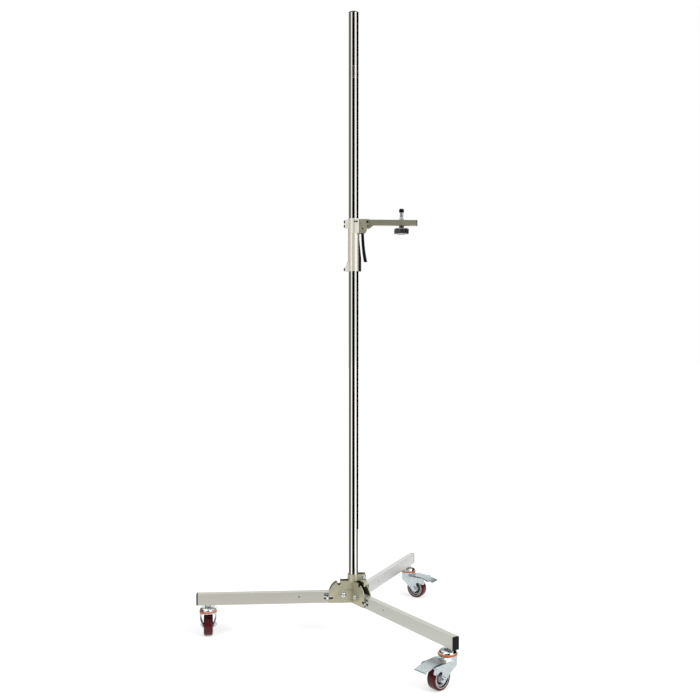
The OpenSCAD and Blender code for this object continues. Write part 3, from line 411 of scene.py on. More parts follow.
def champagne_anodising(name, colour):
    """Anodised aluminium: pearly turned barrel, matt blasted boss and lugs, near-black painted shade on the
    grip rib.
    """
    material, tree = new_finish(name)
    blast = grain(tree, 0.8, detail=2.0)
    rings = grain(tree, 1.2, (90, 90, 1), detail=2.0)
    standing = add_node(tree, "ShaderNodeMapRange", {"interpolation_type": "SMOOTHSTEP"}, (
        from_axis(tree, (0, 0, 0)), SLEEVE_R + 0.1 * MM, SLEEVE_R + 0.6 * MM)).outputs[0]
    normal, edge = eased_edges(tree, 0.6)
    body = toned(tree, toned(tree, colour, rings, 1, "#f8f2e2"), standing, 1, "#efebdd", 0, 1)
    # Painted highlight: the eased edges are painted paler.
    shown = toned(tree, body, edge, 0.5, "#f4f1e6", 0, 1)
    place = add_node(tree, "ShaderNodeTexCoord")
    sides = add_node(tree, "ShaderNodeSeparateXYZ", inputs=(place.outputs["Object"],))
    # Painted shade: the sleeve's right side and its grip rib below the boss are painted near-black and not
    # metallic, as painted shade and dark painted reflection.
    outward = add_node(tree, "ShaderNodeMapRange", inputs=(
        sides.outputs["X"], SLEEVE_R - 4.8 * MM, SLEEVE_R - 4.4 * MM))
    below = add_node(tree, "ShaderNodeMapRange", inputs=(
        sides.outputs["Z"], RIB_SHADE_TOP + 0.5 * MM, RIB_SHADE_TOP))
    rib_shade = add_node(
        tree, "ShaderNodeMath", {"operation": "MULTIPLY"}, (outward.outputs[0], below.outputs[0])).outputs[0]
    outside_rib_shade = add_node(tree, "ShaderNodeMath", {"operation": "SUBTRACT"}, (1.0, rib_shade))
    pearl = add_node(tree, "ShaderNodeMapRange", inputs=(rings, 0.3, 0.7, 0.14, 0.2))
    matt = add_node(tree, "ShaderNodeMapRange", inputs=(blast, 0.3, 0.7, 0.42, 0.55))
    rough = add_node(tree, "ShaderNodeMix", {"data_type": "FLOAT"}, {
        0: standing, 2: pearl.outputs[0], 3: matt.outputs[0]})
    sheen = add_node(tree, "ShaderNodeMapRange", inputs=(standing, 0, 1, 0.42, 0.24))
    metal = add_node(tree, "ShaderNodeMath", {"operation": "MULTIPLY"}, (outside_rib_shade.outputs[0], sheen.outputs[0]))
    return close_finish(
        material, toned(tree, shown, rib_shade, 1, "#12110f", 0, 1), rough.outputs[0], (blast, 0.006), normal,
        metallic=metal.outputs[0])


def black_oxide(name, colour):
    """Black-oxide screw steel: charcoal, with a painted highlight on its edges."""
    material, tree = new_finish(name)
    normal, edge = eased_edges(tree, 0.3)
    return close_finish(
        material, toned(tree, colour, edge, 0.5, "#6d6b68", 0, 1), (grain(tree, 2.5), 0.3, 0.48),
        normal=normal, metallic=0.85)


def shoe_rubber(name, colour):
    """Pressed friction rubber: matt, chalky black."""
    material, tree = new_finish(name)
    chalk = grain(tree, 1.2, detail=5.0)
    return close_finish(
        material, toned(tree, colour, chalk, 1, "#35332f"), (chalk, 0.7, 0.9), (chalk, 0.06),
        eased_edges(tree, 0.3)[0], ior=1.52)


# Mesh helpers


def hex_profile(limit):
    """A hexagon of corner radius 1, its corners turned down to limit."""
    def profile(angle):
        return min(limit, cos(pi / 6) / cos(angle % (pi / 3) - pi / 6))
    return profile


def fluted_profile(count, depth):
    """A circle with count round flutes, each depth of the radius deep."""
    def profile(angle):
        near = abs((angle * count / (2 * pi) + 0.5) % 1 - 0.5) * 2
        return 1 - depth * max(0.0, 1 - (near / 0.6) ** 2)
    return profile


def ease_corners(section, ease):
    """Rounds the corners of an (r, z) section and holds the long sides beside them flat."""
    # A side longer than 6 times the ease gets a point 2.5 times the ease from its corner.
    long_side, hold_at = 6 * ease, 2.5 * ease
    eased = [section[0]]
    for before, corner, after in zip(section, section[1:], section[2:]):
        b, c, a = Vector(before), Vector(corner), Vector(after)
        if (b - c).length < 1e-7 or (a - c).length < 1e-7:
            eased.append(corner)
            continue
        start = c + (b - c).normalized() * min(ease, (b - c).length * 0.45)
        end = c + (a - c).normalized() * min(ease, (a - c).length * 0.45)
        if (b - c).length > long_side:
            eased.append(tuple(c + (b - c).normalized() * hold_at))
        for t in (0.0, 0.25, 0.5, 0.75, 1.0):
            eased.append(tuple((1 - t) ** 2 * start + 2 * t * (1 - t) * c + t * t * end))
        if (a - c).length > long_side:
            eased.append(tuple(c + (a - c).normalized() * hold_at))
    return eased + [section[-1]]


def skin_rows(shape, rows, loop=False):
    """Faces between rows of vertices; a row of one vertex is a pole."""
    pairs = list(zip(rows, rows[1:])) + ([(rows[-1], rows[0])] if loop else [])
    for low, high in pairs:
        sides = max(len(low), len(high))
        for k in range(sides):
            after = (k + 1) % sides
            if len(low) == 1:
                shape.faces.new((low[0], high[after], high[k]))
            elif len(high) == 1:
                shape.faces.new((low[k], low[after], high[0]))
            else:
                shape.faces.new((low[k], low[after], high[after], high[k]))


def turn_rings(shape, rings, matrix, sides=64, loop=False):
    """Adds a closed form of stacked (radius, height) rings; a third value is a ring's profile."""
    rows = []
    for radius, height, *profile in rings:
        row = []
        for k in range(sides if radius > 1e-7 else 1):
            angle = 2 * pi * k / sides
            reach = radius * profile[0](angle) if profile else radius
            row.append(shape.verts.new(matrix @ Vector((reach * cos(angle), reach * sin(angle), height))))
        rows.append(row)
    skin_rows(shape, rows, loop)


def sweep_bar(shape, stations, across, along, corner, sides=8):
    """A bar of rounded-rectangle section through (centre, half width, half depth) stations."""
    rows = []
    for centre, width, depth in stations:
        ease = min(corner, width, depth)
        row = []
        for start, (x, y) in zip((0, 90, 180, 270), ((1, 1), (-1, 1), (-1, -1), (1, -1))):
            for k in range(sides + 1):
                angle = radians(start + 90 * k / sides)
                reach = (x * (width - ease) + ease * cos(angle), y * (depth - ease) + ease * sin(angle))
                row.append(shape.verts.new(Vector(centre) + Vector(across) * reach[0]
                                           + Vector(along) * reach[1]))
        rows.append(row)
    skin_rows(shape, rows)
    shape.faces.new(rows[0])
    shape.faces.new(rows[-1])


def bolt_rings(head_r, head_h, shank_r, shank_l, nut_r=0.0, nut_h=0.0, tail=0.0):
    """Rings of a socket bolt along Z in mm: head above z = 0, any nut at the end of its grip."""
    hexagon, turned = hex_profile(1.0), hex_profile(0.9)
    rings = [
        (0, head_h * 0.3), (head_r * 0.4, head_h * 0.3, hexagon), (head_r * 0.4, head_h, hexagon),
        (head_r * 0.6, head_h), (head_r * 0.85, head_h * 0.84), (head_r * 0.97, head_h * 0.6),
        (head_r, head_h * 0.4), (head_r, 0), (shank_r, 0), (shank_r, -shank_l)]
    if nut_h:
        rings += [
            (nut_r, -shank_l, turned), (nut_r, -shank_l - nut_h * 0.12, hexagon),
            (nut_r, -shank_l - nut_h * 0.88, hexagon), (nut_r, -shank_l - nut_h, turned),
            (shank_r, -shank_l - nut_h)]
    end = shank_l + nut_h + tail
    rings += [(shank_r, -end + shank_r * 0.1), (shank_r * 0.9, -end), (0, -end)]
    return [(r * MM, z * MM, *profile) for r, z, *profile in rings]


def rivet_rings(head_r, head_h, shank_r, grip):
    """Rings of a rivet along Z in mm, domed at both ends of its grip."""
    end = [(0, 1.0), (0.55, 0.9), (0.85, 0.6), (1.0, 0.2), (1.0, 0.0)]
    upper = [(head_r * r, grip + head_h * h) for r, h in end] + [(shank_r, grip)]
    return [(r * MM, z * MM) for r, z in upper + [(r, -z) for r, z in reversed(upper)]]


def level(azimuth):
    """A level vector of length 1 towards azimuth."""
    return Vector((cos(azimuth), sin(azimuth), 0))


def facing(azimuth):
    """The turn that lays a fitting level with its head towards azimuth."""
    return 0.0, pi / 2, azimuth


def turn_section(shape, section, matrix, ease, sides, loop=False):
    """Adds a lathe form of an (r, z) section in metres; a loop goes round a bore."""
    points = [tuple(p) for p in section]
    if loop:
        points = ease_corners([points[-1]] + points + [points[0]], ease)[1:-1]
    else:
        points = ease_corners(points, ease)
    turn_rings(shape, points, matrix, sides, loop)


def new_object(name, data):
    """A new object in the scene."""
    made = bpy.data.objects.new(name, data)
    bpy.context.scene.collection.objects.link(made)
    return made


def closed_mesh(name, shape):
    """Turns a bmesh into a mesh whose faces look outward."""
    bmesh.ops.recalc_face_normals(shape, faces=shape.faces)
    mesh = bpy.data.meshes.new(name)
    shape.to_mesh(mesh)
    shape.free()
    return mesh


def turn_piece(name, node, material, section, matrix, ease, sides=96, loop=False, sharp=35):
    """A piece turned from one section that stands for one CAD node."""
    shape = bmesh.new()
    turn_section(shape, section, matrix, ease, sides, loop)
    place_piece(name, closed_mesh(name, shape), [material], [node], sharp)


def place_piece(name, mesh, materials, nodes, sharp=35):
    """Puts a finished mesh in the scene in place of CAD nodes, riding where they ride."""
    mesh.shade_smooth()
    mesh.set_sharp_from_angle(angle=radians(sharp))
    mesh.materials.clear()
    for material in materials:
        mesh.materials.append(material)
    piece = new_object(name, mesh)
    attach(piece, body_of_node(nodes[0]))
    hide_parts(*nodes)


def body_of_node(node):
    """The body that a CAD node rides on."""
    for body, nodes in frame["record"]["behaviour"]["bodies"].items():
        if node in nodes:
            return body
    raise RuntimeError(f"no body holds {node}")


def row_of(rows, key, name):
    """The row of a list in the record that a key names."""
    for row in rows:
        if row[key] == name:
            return row
    raise RuntimeError(f"the record has no {key} {name}")


def joint_place(name):
    """A joint's place in the record."""
    return Vector(row_of(frame["record"]["behaviour"]["joints"], "name", name)["pos_m"])


def dress(node, material):
    """Gives a CAD node its finish."""
    piece = frame["nodes"][node]
    if not piece.material_slots:
        raise RuntimeError(f"{node} has no material slot")
    for slot in piece.material_slots:
        slot.material = material


def upright_at(x, y):
    """The place of a form that turns about an upright axis."""
    return Matrix.Translation((x, y, 0))


def lying_at(centre, azimuth):
    """The place of a form whose axis lies level and points along azimuth."""
    return Matrix.Translation(centre) @ Matrix.Rotation(azimuth, 4, "Z") @ Matrix.Rotation(pi / 2, 4, "Y")


# Geometry node trees


def new_rule(name, sizes):
    """An empty geometry node tree with named inputs."""
    tree = bpy.data.node_groups.new(name, "GeometryNodeTree")
    tree.interface.new_socket("Geometry", in_out="INPUT", socket_type="NodeSocketGeometry")
    for label, kind, default in sizes:
        socket = tree.interface.new_socket(label, in_out="INPUT", socket_type=kind)
        if default is not None:
            socket.default_value = default
    tree.interface.new_socket("Geometry", in_out="OUTPUT", socket_type="NodeSocketGeometry")
    return tree, add_node(tree, "NodeGroupInput")


def close_rule(tree, geometry, material):
    """Ends a tree in Realize Instances and Set Material."""
    real = add_node(tree, "GeometryNodeRealizeInstances", inputs={"Geometry": geometry})
    painted = add_node(tree, "GeometryNodeSetMaterial", inputs={
        "Geometry": real.outputs[0], "Material": material})
    add_node(tree, "NodeGroupOutput", inputs={0: painted.outputs[0]})


def run_rule(tree, values, start=None):
    """Runs a tree with its inputs set and gives back the plain mesh."""
    grown = new_object(tree.name, start or bpy.data.meshes.new(tree.name))
    modifier = grown.modifiers.new(tree.name, "NODES")
    modifier.node_group = tree
    for item in tree.interface.items_tree:
        if item.item_type == "SOCKET" and item.in_out == "INPUT" and item.name in values:
            modifier[item.identifier] = values[item.name]
    depsgraph = bpy.context.evaluated_depsgraph_get()
    mesh = bpy.data.meshes.new_from_object(grown.evaluated_get(depsgraph))
    bpy.data.objects.remove(grown)
    if not mesh.polygons:
        raise RuntimeError(f"{tree.name} made no faces")
    return mesh


def coil_rule(material):
    """A wire coil along Z whose end turns lie closer, as a compression spring's do."""
    tree, given = new_rule("WireCoil", [
        ("Length", "NodeSocketFloat", 0.07), ("Radius", "NodeSocketFloat", 0.006),
        ("Wire", "NodeSocketFloat", 0.0014), ("Turns", "NodeSocketFloat", 10.0),
        ("Closed ends", "NodeSocketFloat", 0.8)])
    helix = add_node(tree, "GeometryNodeCurveSpiral", inputs={
        "Resolution": 28, "Rotations": given.outputs["Turns"], "Start Radius": given.outputs["Radius"],
        "End Radius": given.outputs["Radius"], "Height": 0.0})
    along = add_node(tree, "GeometryNodeSplineParameter")
    slow = add_node(tree, "ShaderNodeMapRange", {"interpolation_type": "SMOOTHSTEP"}, {
        "Value": along.outputs["Factor"]})
    rise = add_node(tree, "ShaderNodeMix", {"data_type": "FLOAT"}, {
        0: given.outputs["Closed ends"], 2: along.outputs["Factor"], 3: slow.outputs["Result"]})
    height = add_node(tree, "ShaderNodeMath", {"operation": "MULTIPLY"}, {
        0: rise.outputs[0], 1: given.outputs["Length"]})
    lift = add_node(tree, "ShaderNodeCombineXYZ", inputs={"Z": height.outputs[0]})
    raised_helix = add_node(tree, "GeometryNodeSetPosition", inputs={
        "Geometry": helix.outputs[0], "Offset": lift.outputs[0]})
    half = add_node(tree, "ShaderNodeMath", {"operation": "MULTIPLY"}, {0: given.outputs["Wire"], 1: 0.5})
    section = add_node(tree, "GeometryNodeCurvePrimitiveCircle", inputs={
        "Resolution": 10, "Radius": half.outputs[0]})
    wire = add_node(tree, "GeometryNodeCurveToMesh", inputs={
        "Curve": raised_helix.outputs[0], "Profile Curve": section.outputs[0], "Fill Caps": True})
    close_rule(tree, wire.outputs[0], material)
    return tree


def repeat_rule(material):
    """Sets one fitting on every point, turned and sized by the point's own values."""
    tree, given = new_rule("FittingOnPoints", [
        ("Fitting", "NodeSocketObject", None), ("Scale", "NodeSocketFloat", 1.0)])
    fitting = add_node(tree, "GeometryNodeObjectInfo", inputs={"Object": given.outputs["Fitting"]})
    turn = add_node(tree, "GeometryNodeInputNamedAttribute", {"data_type": "FLOAT_VECTOR"}, {"Name": "turn"})
    size = add_node(tree, "GeometryNodeInputNamedAttribute", {"data_type": "FLOAT"}, {"Name": "size"})
    rotation = add_node(tree, "FunctionNodeEulerToRotation", inputs={"Euler": turn.outputs["Attribute"]})
    scale = add_node(tree, "ShaderNodeMath", {"operation": "MULTIPLY"}, {
        0: size.outputs["Attribute"], 1: given.outputs["Scale"]})
    sets = add_node(tree, "GeometryNodeInstanceOnPoints", inputs={
        "Points": given.outputs["Geometry"], "Instance": fitting.outputs["Geometry"],
        "Rotation": rotation.outputs[0], "Scale": scale.outputs[0]})
    close_rule(tree, sets.outputs[0], material)
    return tree


def repeat_fitting(tree, rings, places):
    """Runs the repeat tree for a fitting of stacked rings over (point, euler, size) places."""
    shape = bmesh.new()
    turn_rings(shape, rings, Matrix(), 48)
    fitting = new_object("fitting", closed_mesh("fitting", shape))
    points = bpy.data.meshes.new("places")
    points.from_pydata([p for p, _, _ in places], [], [])
    points.attributes.new("turn", "FLOAT_VECTOR", "POINT")
    points.attributes.new("size", "FLOAT", "POINT")
    for k, (_, euler, size) in enumerate(places):
        points.attributes["turn"].data[k].vector = euler
        points.attributes["size"].data[k].value = size
    made = run_rule(tree, {"Fitting": fitting, "Scale": 1.0}, points)
    bpy.data.objects.remove(fitting)
    return made


def join_fittings(parts):
    """Joins repeated fittings of one body into one mesh; part k takes material slot k."""
    joined = bmesh.new()
    for k, part in enumerate(parts):
        for face in part.polygons:
            face.material_index = k
        joined.from_mesh(part)
    mesh = bpy.data.meshes.new("fittings")
    joined.to_mesh(mesh)
    joined.free()
    return mesh


# The pieces


def stand(context):
    """The scene's sizes, colours and studio settings."""
    return context.scene.stand_sizes, context.scene.stand_colours, context.scene.stand_studio


class STAND_OT_column(bpy.types.Operator):
    """Chromes the two tubes and adds the polished joint band and the top plug"""

    bl_idname = "stand.column"
    bl_label = "Column"

    def execute(self, context):
        sizes, colours, _ = stand(context)
        chrome = drawn_chrome("ChromedTube", colours.chrome)
        for node in ("column_lower_tube", "column_upper_tube"):
            low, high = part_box(node)
            bore = COLUMN_R - 2 * MM
            turn_piece(node.replace("column_", "chromed_"), node, chrome, [
                (bore, low.z), (COLUMN_R, low.z), (COLUMN_R, high.z), (bore, high.z)],
                upright_at(0, 0), 0.25 * MM, 128, loop=True)
        low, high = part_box("column_joint")
        spigot_r = COLUMN_R - 2.05 * MM
        turn_piece("joint_band", "column_joint", turned_steel("PolishedSteel", "#e6e3db", 0.18), [
            (0, low.z), (spigot_r, low.z), (spigot_r, JOINT_BOTTOM), (COLUMN_R, JOINT_BOTTOM),
            (COLUMN_R, JOINT_TOP), (spigot_r, JOINT_TOP), (spigot_r, high.z), (0, high.z)],
            upright_at(0, 0), 0.35 * MM, 128)
        low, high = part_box("column_top_plug")
        head_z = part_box("column_upper_tube")[1].z
        turn_piece("top_plug", "column_top_plug", moulded_nylon("MouldedNylonPlug", "#0c0c0d"), [
            (0, low.z), (spigot_r - 1.5 * MM, low.z), (spigot_r, low.z + 1.5 * MM), (spigot_r, head_z),
            (COLUMN_R, head_z), (COLUMN_R, high.z - 1.2 * MM), (COLUMN_R - 1.6 * MM, high.z), (0, high.z)],
            upright_at(0, 0), sizes.ease)
        return {"FINISHED"}


class STAND_OT_hub(bpy.types.Operator):
    """Enamels the hub plates and sets the pivot and clamping bolts"""

    bl_idname = "stand.hub"
    bl_label = "Hub"

    def execute(self, context):
        _, colours, _ = stand(context)
        enamel = champagne_enamel("ChampagneEnamel", colours.champagne)
        for side in ("front", "rear", "side"):
            dress(f"hub_plate_{side}", enamel)
        # The core's cast aluminium grey is taken darker as painted shade for the gap between the plates.
        dress("hub_core", cast_aluminium("CastAluminium", "#5c5a52"))
        zinc = zinc_plate("BrightZincBolts", "#e2e5e6", 0.2)
        rule = repeat_rule(zinc)
        pivots = []
        for azimuth in LEGS.values():
            out, across = level(radians(azimuth)), radians(azimuth + 90)
            head = out * PIVOT_S + level(across) * PIVOT_GRIP + Vector((0, 0, PIVOT_Z))
            pivots.append((head, facing(across), 1.0))
        bolts = join_fittings([
            repeat_fitting(rule, bolt_rings(*PIVOT_BOLT), pivots),
            repeat_fitting(rule, bolt_rings(*CLAMP_BOLT), [(CLAMP_SEAT, facing(-pi / 2), 1.0)])])
        place_piece("pivot_bolts", bolts, [zinc, zinc], ["hub_bolts"], 40)
        return {"FINISHED"}


class STAND_OT_legs(bpy.types.Operator):
    """Gives the leg tubes their brushed nickel and their end caps"""

    bl_idname = "stand.legs"
    bl_label = "Legs"

    def execute(self, context):
        _, colours, _ = stand(context)
        nylon = moulded_nylon("MouldedNylonCap", "#070708")
        for leg, azimuth in LEGS.items():
            # Each leg's colour is painted light and shade for how the lamps fall on it.
            lit_leg_tone = getattr(colours, f"nickel_{leg}")
            dress(f"leg_tube_{leg}", satin_nickel(f"SatinNickel_{leg}", lit_leg_tone, azimuth))
            dress(f"leg_cap_{leg}", nylon)
        return {"FINISHED"}


class STAND_OT_locks(bpy.types.Operator):
    """Chromes the lock plungers and winds their springs"""

    bl_idname = "stand.locks"
    bl_label = "Leg locks"

    def execute(self, context):
        sizes, _, _ = stand(context)
        chrome = zinc_plate("PlungerNickel", "#e4e5e2", 0.16)
        steel = spring_wire("TemperedWire", "#6f6c64")
        coil = coil_rule(steel)
        low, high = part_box("lock_spring_left")
        half_wire = sizes.spring_wire / 2
        start, end = -high.x + half_wire, -low.x - half_wire
        values = {"Length": end - start, "Radius": (high.z - low.z) / 2 - half_wire,
                  "Wire": sizes.spring_wire, "Turns": float(sizes.spring_turns)}
        for leg, azimuth in LEGS.items():
            dress(f"lock_plunger_{leg}", chrome)
            dress(f"spring_pin_{leg}", black_oxide(f"SpringPinOxide_{leg}", "#1f1e1d"))
            foot = level(radians(azimuth)) * start + Vector((0, 0, (low.z + high.z) / 2))
            mesh = run_rule(coil, values)
            mesh.transform(lying_at(foot, radians(azimuth)))
            place_piece(f"lock_coil_{leg}", mesh, [steel], [f"lock_spring_{leg}"], 60)
        return {"FINISHED"}


class STAND_OT_casters(bpy.types.Operator):
    """Finishes the casters' stems, domes, seals, forks, axles and pedals"""

    bl_idname = "stand.casters"
    bl_label = "Casters"

    def execute(self, context):
        _, colours, _ = stand(context)
        zinc = zinc_plate("BrightZincFork", colours.zinc, 0.3)
        dome_chrome = zinc_plate("ChromedDome", "#eef1f2", 0.1)
        bolt_zinc = zinc_plate("BrightZincStem", "#dfe3e4", 0.2)
        orange = seal_polymer("OrangePolyethylene", colours.seal)
        rivet_oxide = black_oxide("RivetOxide", "#1a1919")
        rule, rivet_rule = repeat_rule(bolt_zinc), repeat_rule(rivet_oxide)
        for leg in LEGS:
            across = TRAILS[leg] + pi / 2
            dress(f"caster_fork_{leg}", zinc)
            dress(f"brake_pedal_{leg}", zinc)
            axle = repeat_fitting(rule, bolt_rings(*AXLE_BOLT), [
                (AXLES[leg] + level(across) * 21.5 * MM, facing(across), 1.0)])
            rivet = repeat_fitting(rivet_rule, rivet_rings(*PEDAL_RIVET), [
                (joint_place(f"brake_pedal_{leg}"), facing(across), 1.0)])
            place_piece(f"axle_bolt_{leg}", join_fittings([axle, rivet]), [bolt_zinc, rivet_oxide],
                        [f"caster_axle_{leg}"], 40)
            self.turn_stem(leg, bolt_zinc)
            self.turn_races(leg, dome_chrome, orange)
        return {"FINISHED"}

    def turn_races(self, leg, chrome, orange):
        """The dome over the swivel's balls and the dust seal under it."""
        place = upright_at(SWIVELS[leg].x, SWIVELS[leg].y)
        low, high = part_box(f"caster_dome_{leg}")
        outer, top, skirt = (high.x - low.x) / 2, high.z, low.z + 4.7 * MM
        bore, seat, crown = 6.05 * MM, 16 * MM, 14 * MM
        arc = [(crown + (outer - crown) * cos(radians(a)),
                skirt + 1 * MM + (top - 1 * MM - skirt) * sin(radians(a))) for a in range(0, 88, 6)]
        turn_piece(f"dome_{leg}", f"caster_dome_{leg}", chrome, [
            (bore, low.z), (seat, low.z), (seat, skirt), (outer, skirt), *arc, (13 * MM, top), (bore, top)],
            place, 0.2 * MM, loop=True, sharp=50)
        low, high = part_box(f"caster_seal_{leg}")
        outer, bore = (high.x - low.x) / 2, 17 * MM
        turn_piece(f"dust_seal_{leg}", f"caster_seal_{leg}", orange, [
            (bore, low.z), (outer - 1 * MM, low.z), (outer, low.z + 1 * MM), (outer, high.z - 1 * MM),
            (outer - 1 * MM, high.z), (bore, high.z)], place, 0.7 * MM, loop=True, sharp=50)

    def turn_stem(self, leg, material):
        """Kingpin head, hex neck, stem and the nut inside the leg."""
        low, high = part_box(f"caster_stem_{leg}")
        neck_top, foot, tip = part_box(f"leg_tube_{leg}")[0].z, low.z, high.z
        hexagon, turned = hex_profile(1.0), hex_profile(0.9)
        corner, shank, kingpin = 10.3 * MM, 6 * MM, 10.4 * MM
        rows = [(0, foot), (8 * MM, foot), (kingpin, foot + 1.2 * MM), (kingpin, foot + 3 * MM),
                (shank, foot + 3 * MM)]
        for start, end in ((neck_top - 8 * MM, neck_top), (neck_top + 1.5 * MM, neck_top + 10.5 * MM)):
            rows += [(shank, start), (corner, start, turned), (corner, start + 0.9 * MM, hexagon),
                     (corner, end - 0.9 * MM, hexagon), (corner, end, turned), (shank, end)]
        rows += [(shank, tip - 0.8 * MM), (shank * 0.87, tip), (0, tip)]
        stem = bmesh.new()
        turn_rings(stem, rows, upright_at(SWIVELS[leg].x, SWIVELS[leg].y), 48)
        place_piece(f"stem_{leg}", closed_mesh(f"stem_{leg}", stem), [material], [f"caster_stem_{leg}"], 30)


class STAND_OT_wheels(bpy.types.Operator):
    """Turns the wheels' centres and treads"""

    bl_idname = "stand.wheels"
    bl_label = "Wheels"

    def execute(self, context):
        _, colours, _ = stand(context)
        # One face of the wheel's centre as (radius, distance from the middle) in mm, from the bore out
        face = [(4.05, 18.6), (9, 18.6), (9, 14), (12, 13.4), (12, 7), (21.4, 5.6), (21.4, 11.5),
                (24.5, 11.5), (24.5, 8), (27, 8), (27, 15), (29.5, 15)]
        core = [(r * MM, z * MM) for r, z in face]
        inner, half, shoulder = 29.6 * MM, 16 * MM, 6 * MM
        for leg in LEGS:
            place = lying_at(AXLES[leg], TRAILS[leg] + pi / 2)
            turn_piece(f"wheel_centre_{leg}", f"wheel_core_{leg}", wheel_centre(f"WheelCentre_{leg}", leg),
                       core + [(r, -z) for r, z in reversed(core)], place, 0.35 * MM, loop=True, sharp=40)
            radius = node_size(f"wheel_tread_{leg}").z / 2
            arc = [(radius - shoulder + shoulder * sin(radians(a)),
                    half - shoulder + shoulder * cos(radians(a))) for a in range(6, 91, 12)]
            side = [(inner, half - 0.6 * MM), (inner + 0.6 * MM, half), *arc, (radius, 1.2 * MM),
                    (radius - 0.25 * MM, 0.5 * MM)]
            urethane = cast_urethane(f"CastUrethane_{leg}", colours.urethane, leg)
            turn_piece(f"tread_{leg}", f"wheel_tread_{leg}", urethane,
                       side + [(r, -z) for r, z in reversed(side)], place, 0.1 * MM, 128, loop=True, sharp=40)
        return {"FINISHED"}


class STAND_OT_carriage(bpy.types.Operator):
    """Finishes the sleeve, its bushes, shoe and screws"""

    bl_idname = "stand.carriage"
    bl_label = "Carriage"

    def execute(self, context):
        _, colours, _ = stand(context)
        dress("carriage_sleeve", champagne_anodising("ChampagneAnodising", colours.anodised))
        dress("guide_bushes", moulded_nylon("AcetalBush", "#1c1c1e", 0.38))
        dress("brake_shoe", shoe_rubber("FrictionRubber", "#26241f"))
        self.set_screws()
        return {"FINISHED"}

    def set_screws(self):
        """Lug screws, pad screws, the arm's screw and the lever's pin."""
        oxide = black_oxide("BlackOxide", "#151414")
        steel = turned_steel("BrightPinSteel", "#d9d8d3", 0.18)
        oxide_rule, steel_rule = repeat_rule(oxide), repeat_rule(steel)
        low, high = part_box("carriage_sleeve")
        screw_z = high.z - 11 * MM
        lugs = [((-30.5 * MM, 0, z), facing(pi), 1.0) for z in (
            screw_z, high.z - 26 * MM, low.z + 6.5 * MM)]
        pads = [((x * MM, -SLEEVE_R, screw_z), facing(-pi / 2), 1.0) for x in (3, 10)]
        arm = [((48 * MM, -13 * MM, screw_z), facing(-pi / 2), 1.0)]
        pin = [(joint_place("squeeze_lever"), facing(pi / 2), 1.0)]
        screws = join_fittings([
            repeat_fitting(oxide_rule, bolt_rings(*LUG_SCREW), lugs),
            repeat_fitting(steel_rule, bolt_rings(*ARM_BOLT), arm),
            repeat_fitting(oxide_rule, bolt_rings(*PAD_SCREW), pads),
            repeat_fitting(steel_rule, rivet_rings(*LEVER_PIN), pin)])
        place_piece("carriage_screws", screws, [oxide, steel, oxide, steel], ["carriage_fasteners"], 40)


class STAND_OT_lever(bpy.types.Operator):
    """Finishes the squeeze lever and its spring"""

    bl_idname = "stand.lever"
    bl_label = "Squeeze lever"

    def execute(self, context):
        pivot = joint_place("squeeze_lever")
        low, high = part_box("squeeze_lever")
        root_t, foot_t, grip_w = 9.8 * MM, 11.6 * MM, high.y - low.y
        flare = high.x - foot_t / 2 - pivot.x
        drop = pivot.z - low.z
        lever = bmesh.new()
        stations, steps = [], 16
        # The grip hangs straight from its eye, flares out towards the foot and is pinched in at the tip
        for k in range(steps + 1):
            t = k / steps
            x = 2 * t * (1 - t) * 0.1 * flare + t * t * flare
            z = -((1 - t) ** 2 * 4 * MM + 2 * t * (1 - t) * 0.6 * drop + t * t * drop)
            swell = 0.92 + 0.08 * sin(pi * t) if t < 0.98 else 0.7
            thickness = root_t + (foot_t - root_t) * t * t
            stations.append((pivot + Vector((x, 0, z)), thickness / 2, grip_w / 2 * swell))
        sweep_bar(lever, stations, (1, 0, 0), (0, 1, 0), 4.5 * MM)
        nose = pivot.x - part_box("brake_shoe")[1].x - 0.3 * MM
        sweep_bar(lever, [(pivot - Vector((nose * (1 - k), 0, 0)), grip_w / 2 - 0.3 * MM, 2.5 * MM)
                          for k in (0.0, 1.0)], (0, 1, 0), (0, 0, 1), 0.8 * MM)
        bore, eye = 3.05 * MM, 8 * MM
        turn_section(lever, [(bore, -grip_w / 2), (eye, -grip_w / 2), (eye, grip_w / 2), (bore, grip_w / 2)],
                     lying_at(pivot, pi / 2), 0.8 * MM, 64, loop=True)
        place_piece("lever_grip", closed_mesh("lever_grip", lever), [
            moulded_nylon("DippedVinylGrip", "#0b0b0c", 0.38)], ["squeeze_lever"])
        dress("lever_spring", spring_wire("LeverSpringWire", "#77746c"))
        return {"FINISHED"}


class STAND_OT_arm(bpy.types.Operator):
    """Enamels the bracket and the arm and caps the arm's end"""

    bl_idname = "stand.arm"
    bl_label = "Arm"

    def execute(self, context):
        dress("arm_bracket", champagne_enamel("BracketEnamel", "#dcd9c4"))
        dress("arm", champagne_enamel("ArmEnamel", "#a7a591"))
        dress("arm_end_cap", moulded_nylon("ArmCapNylon", "#0c0c0d"))
        return {"FINISHED"}


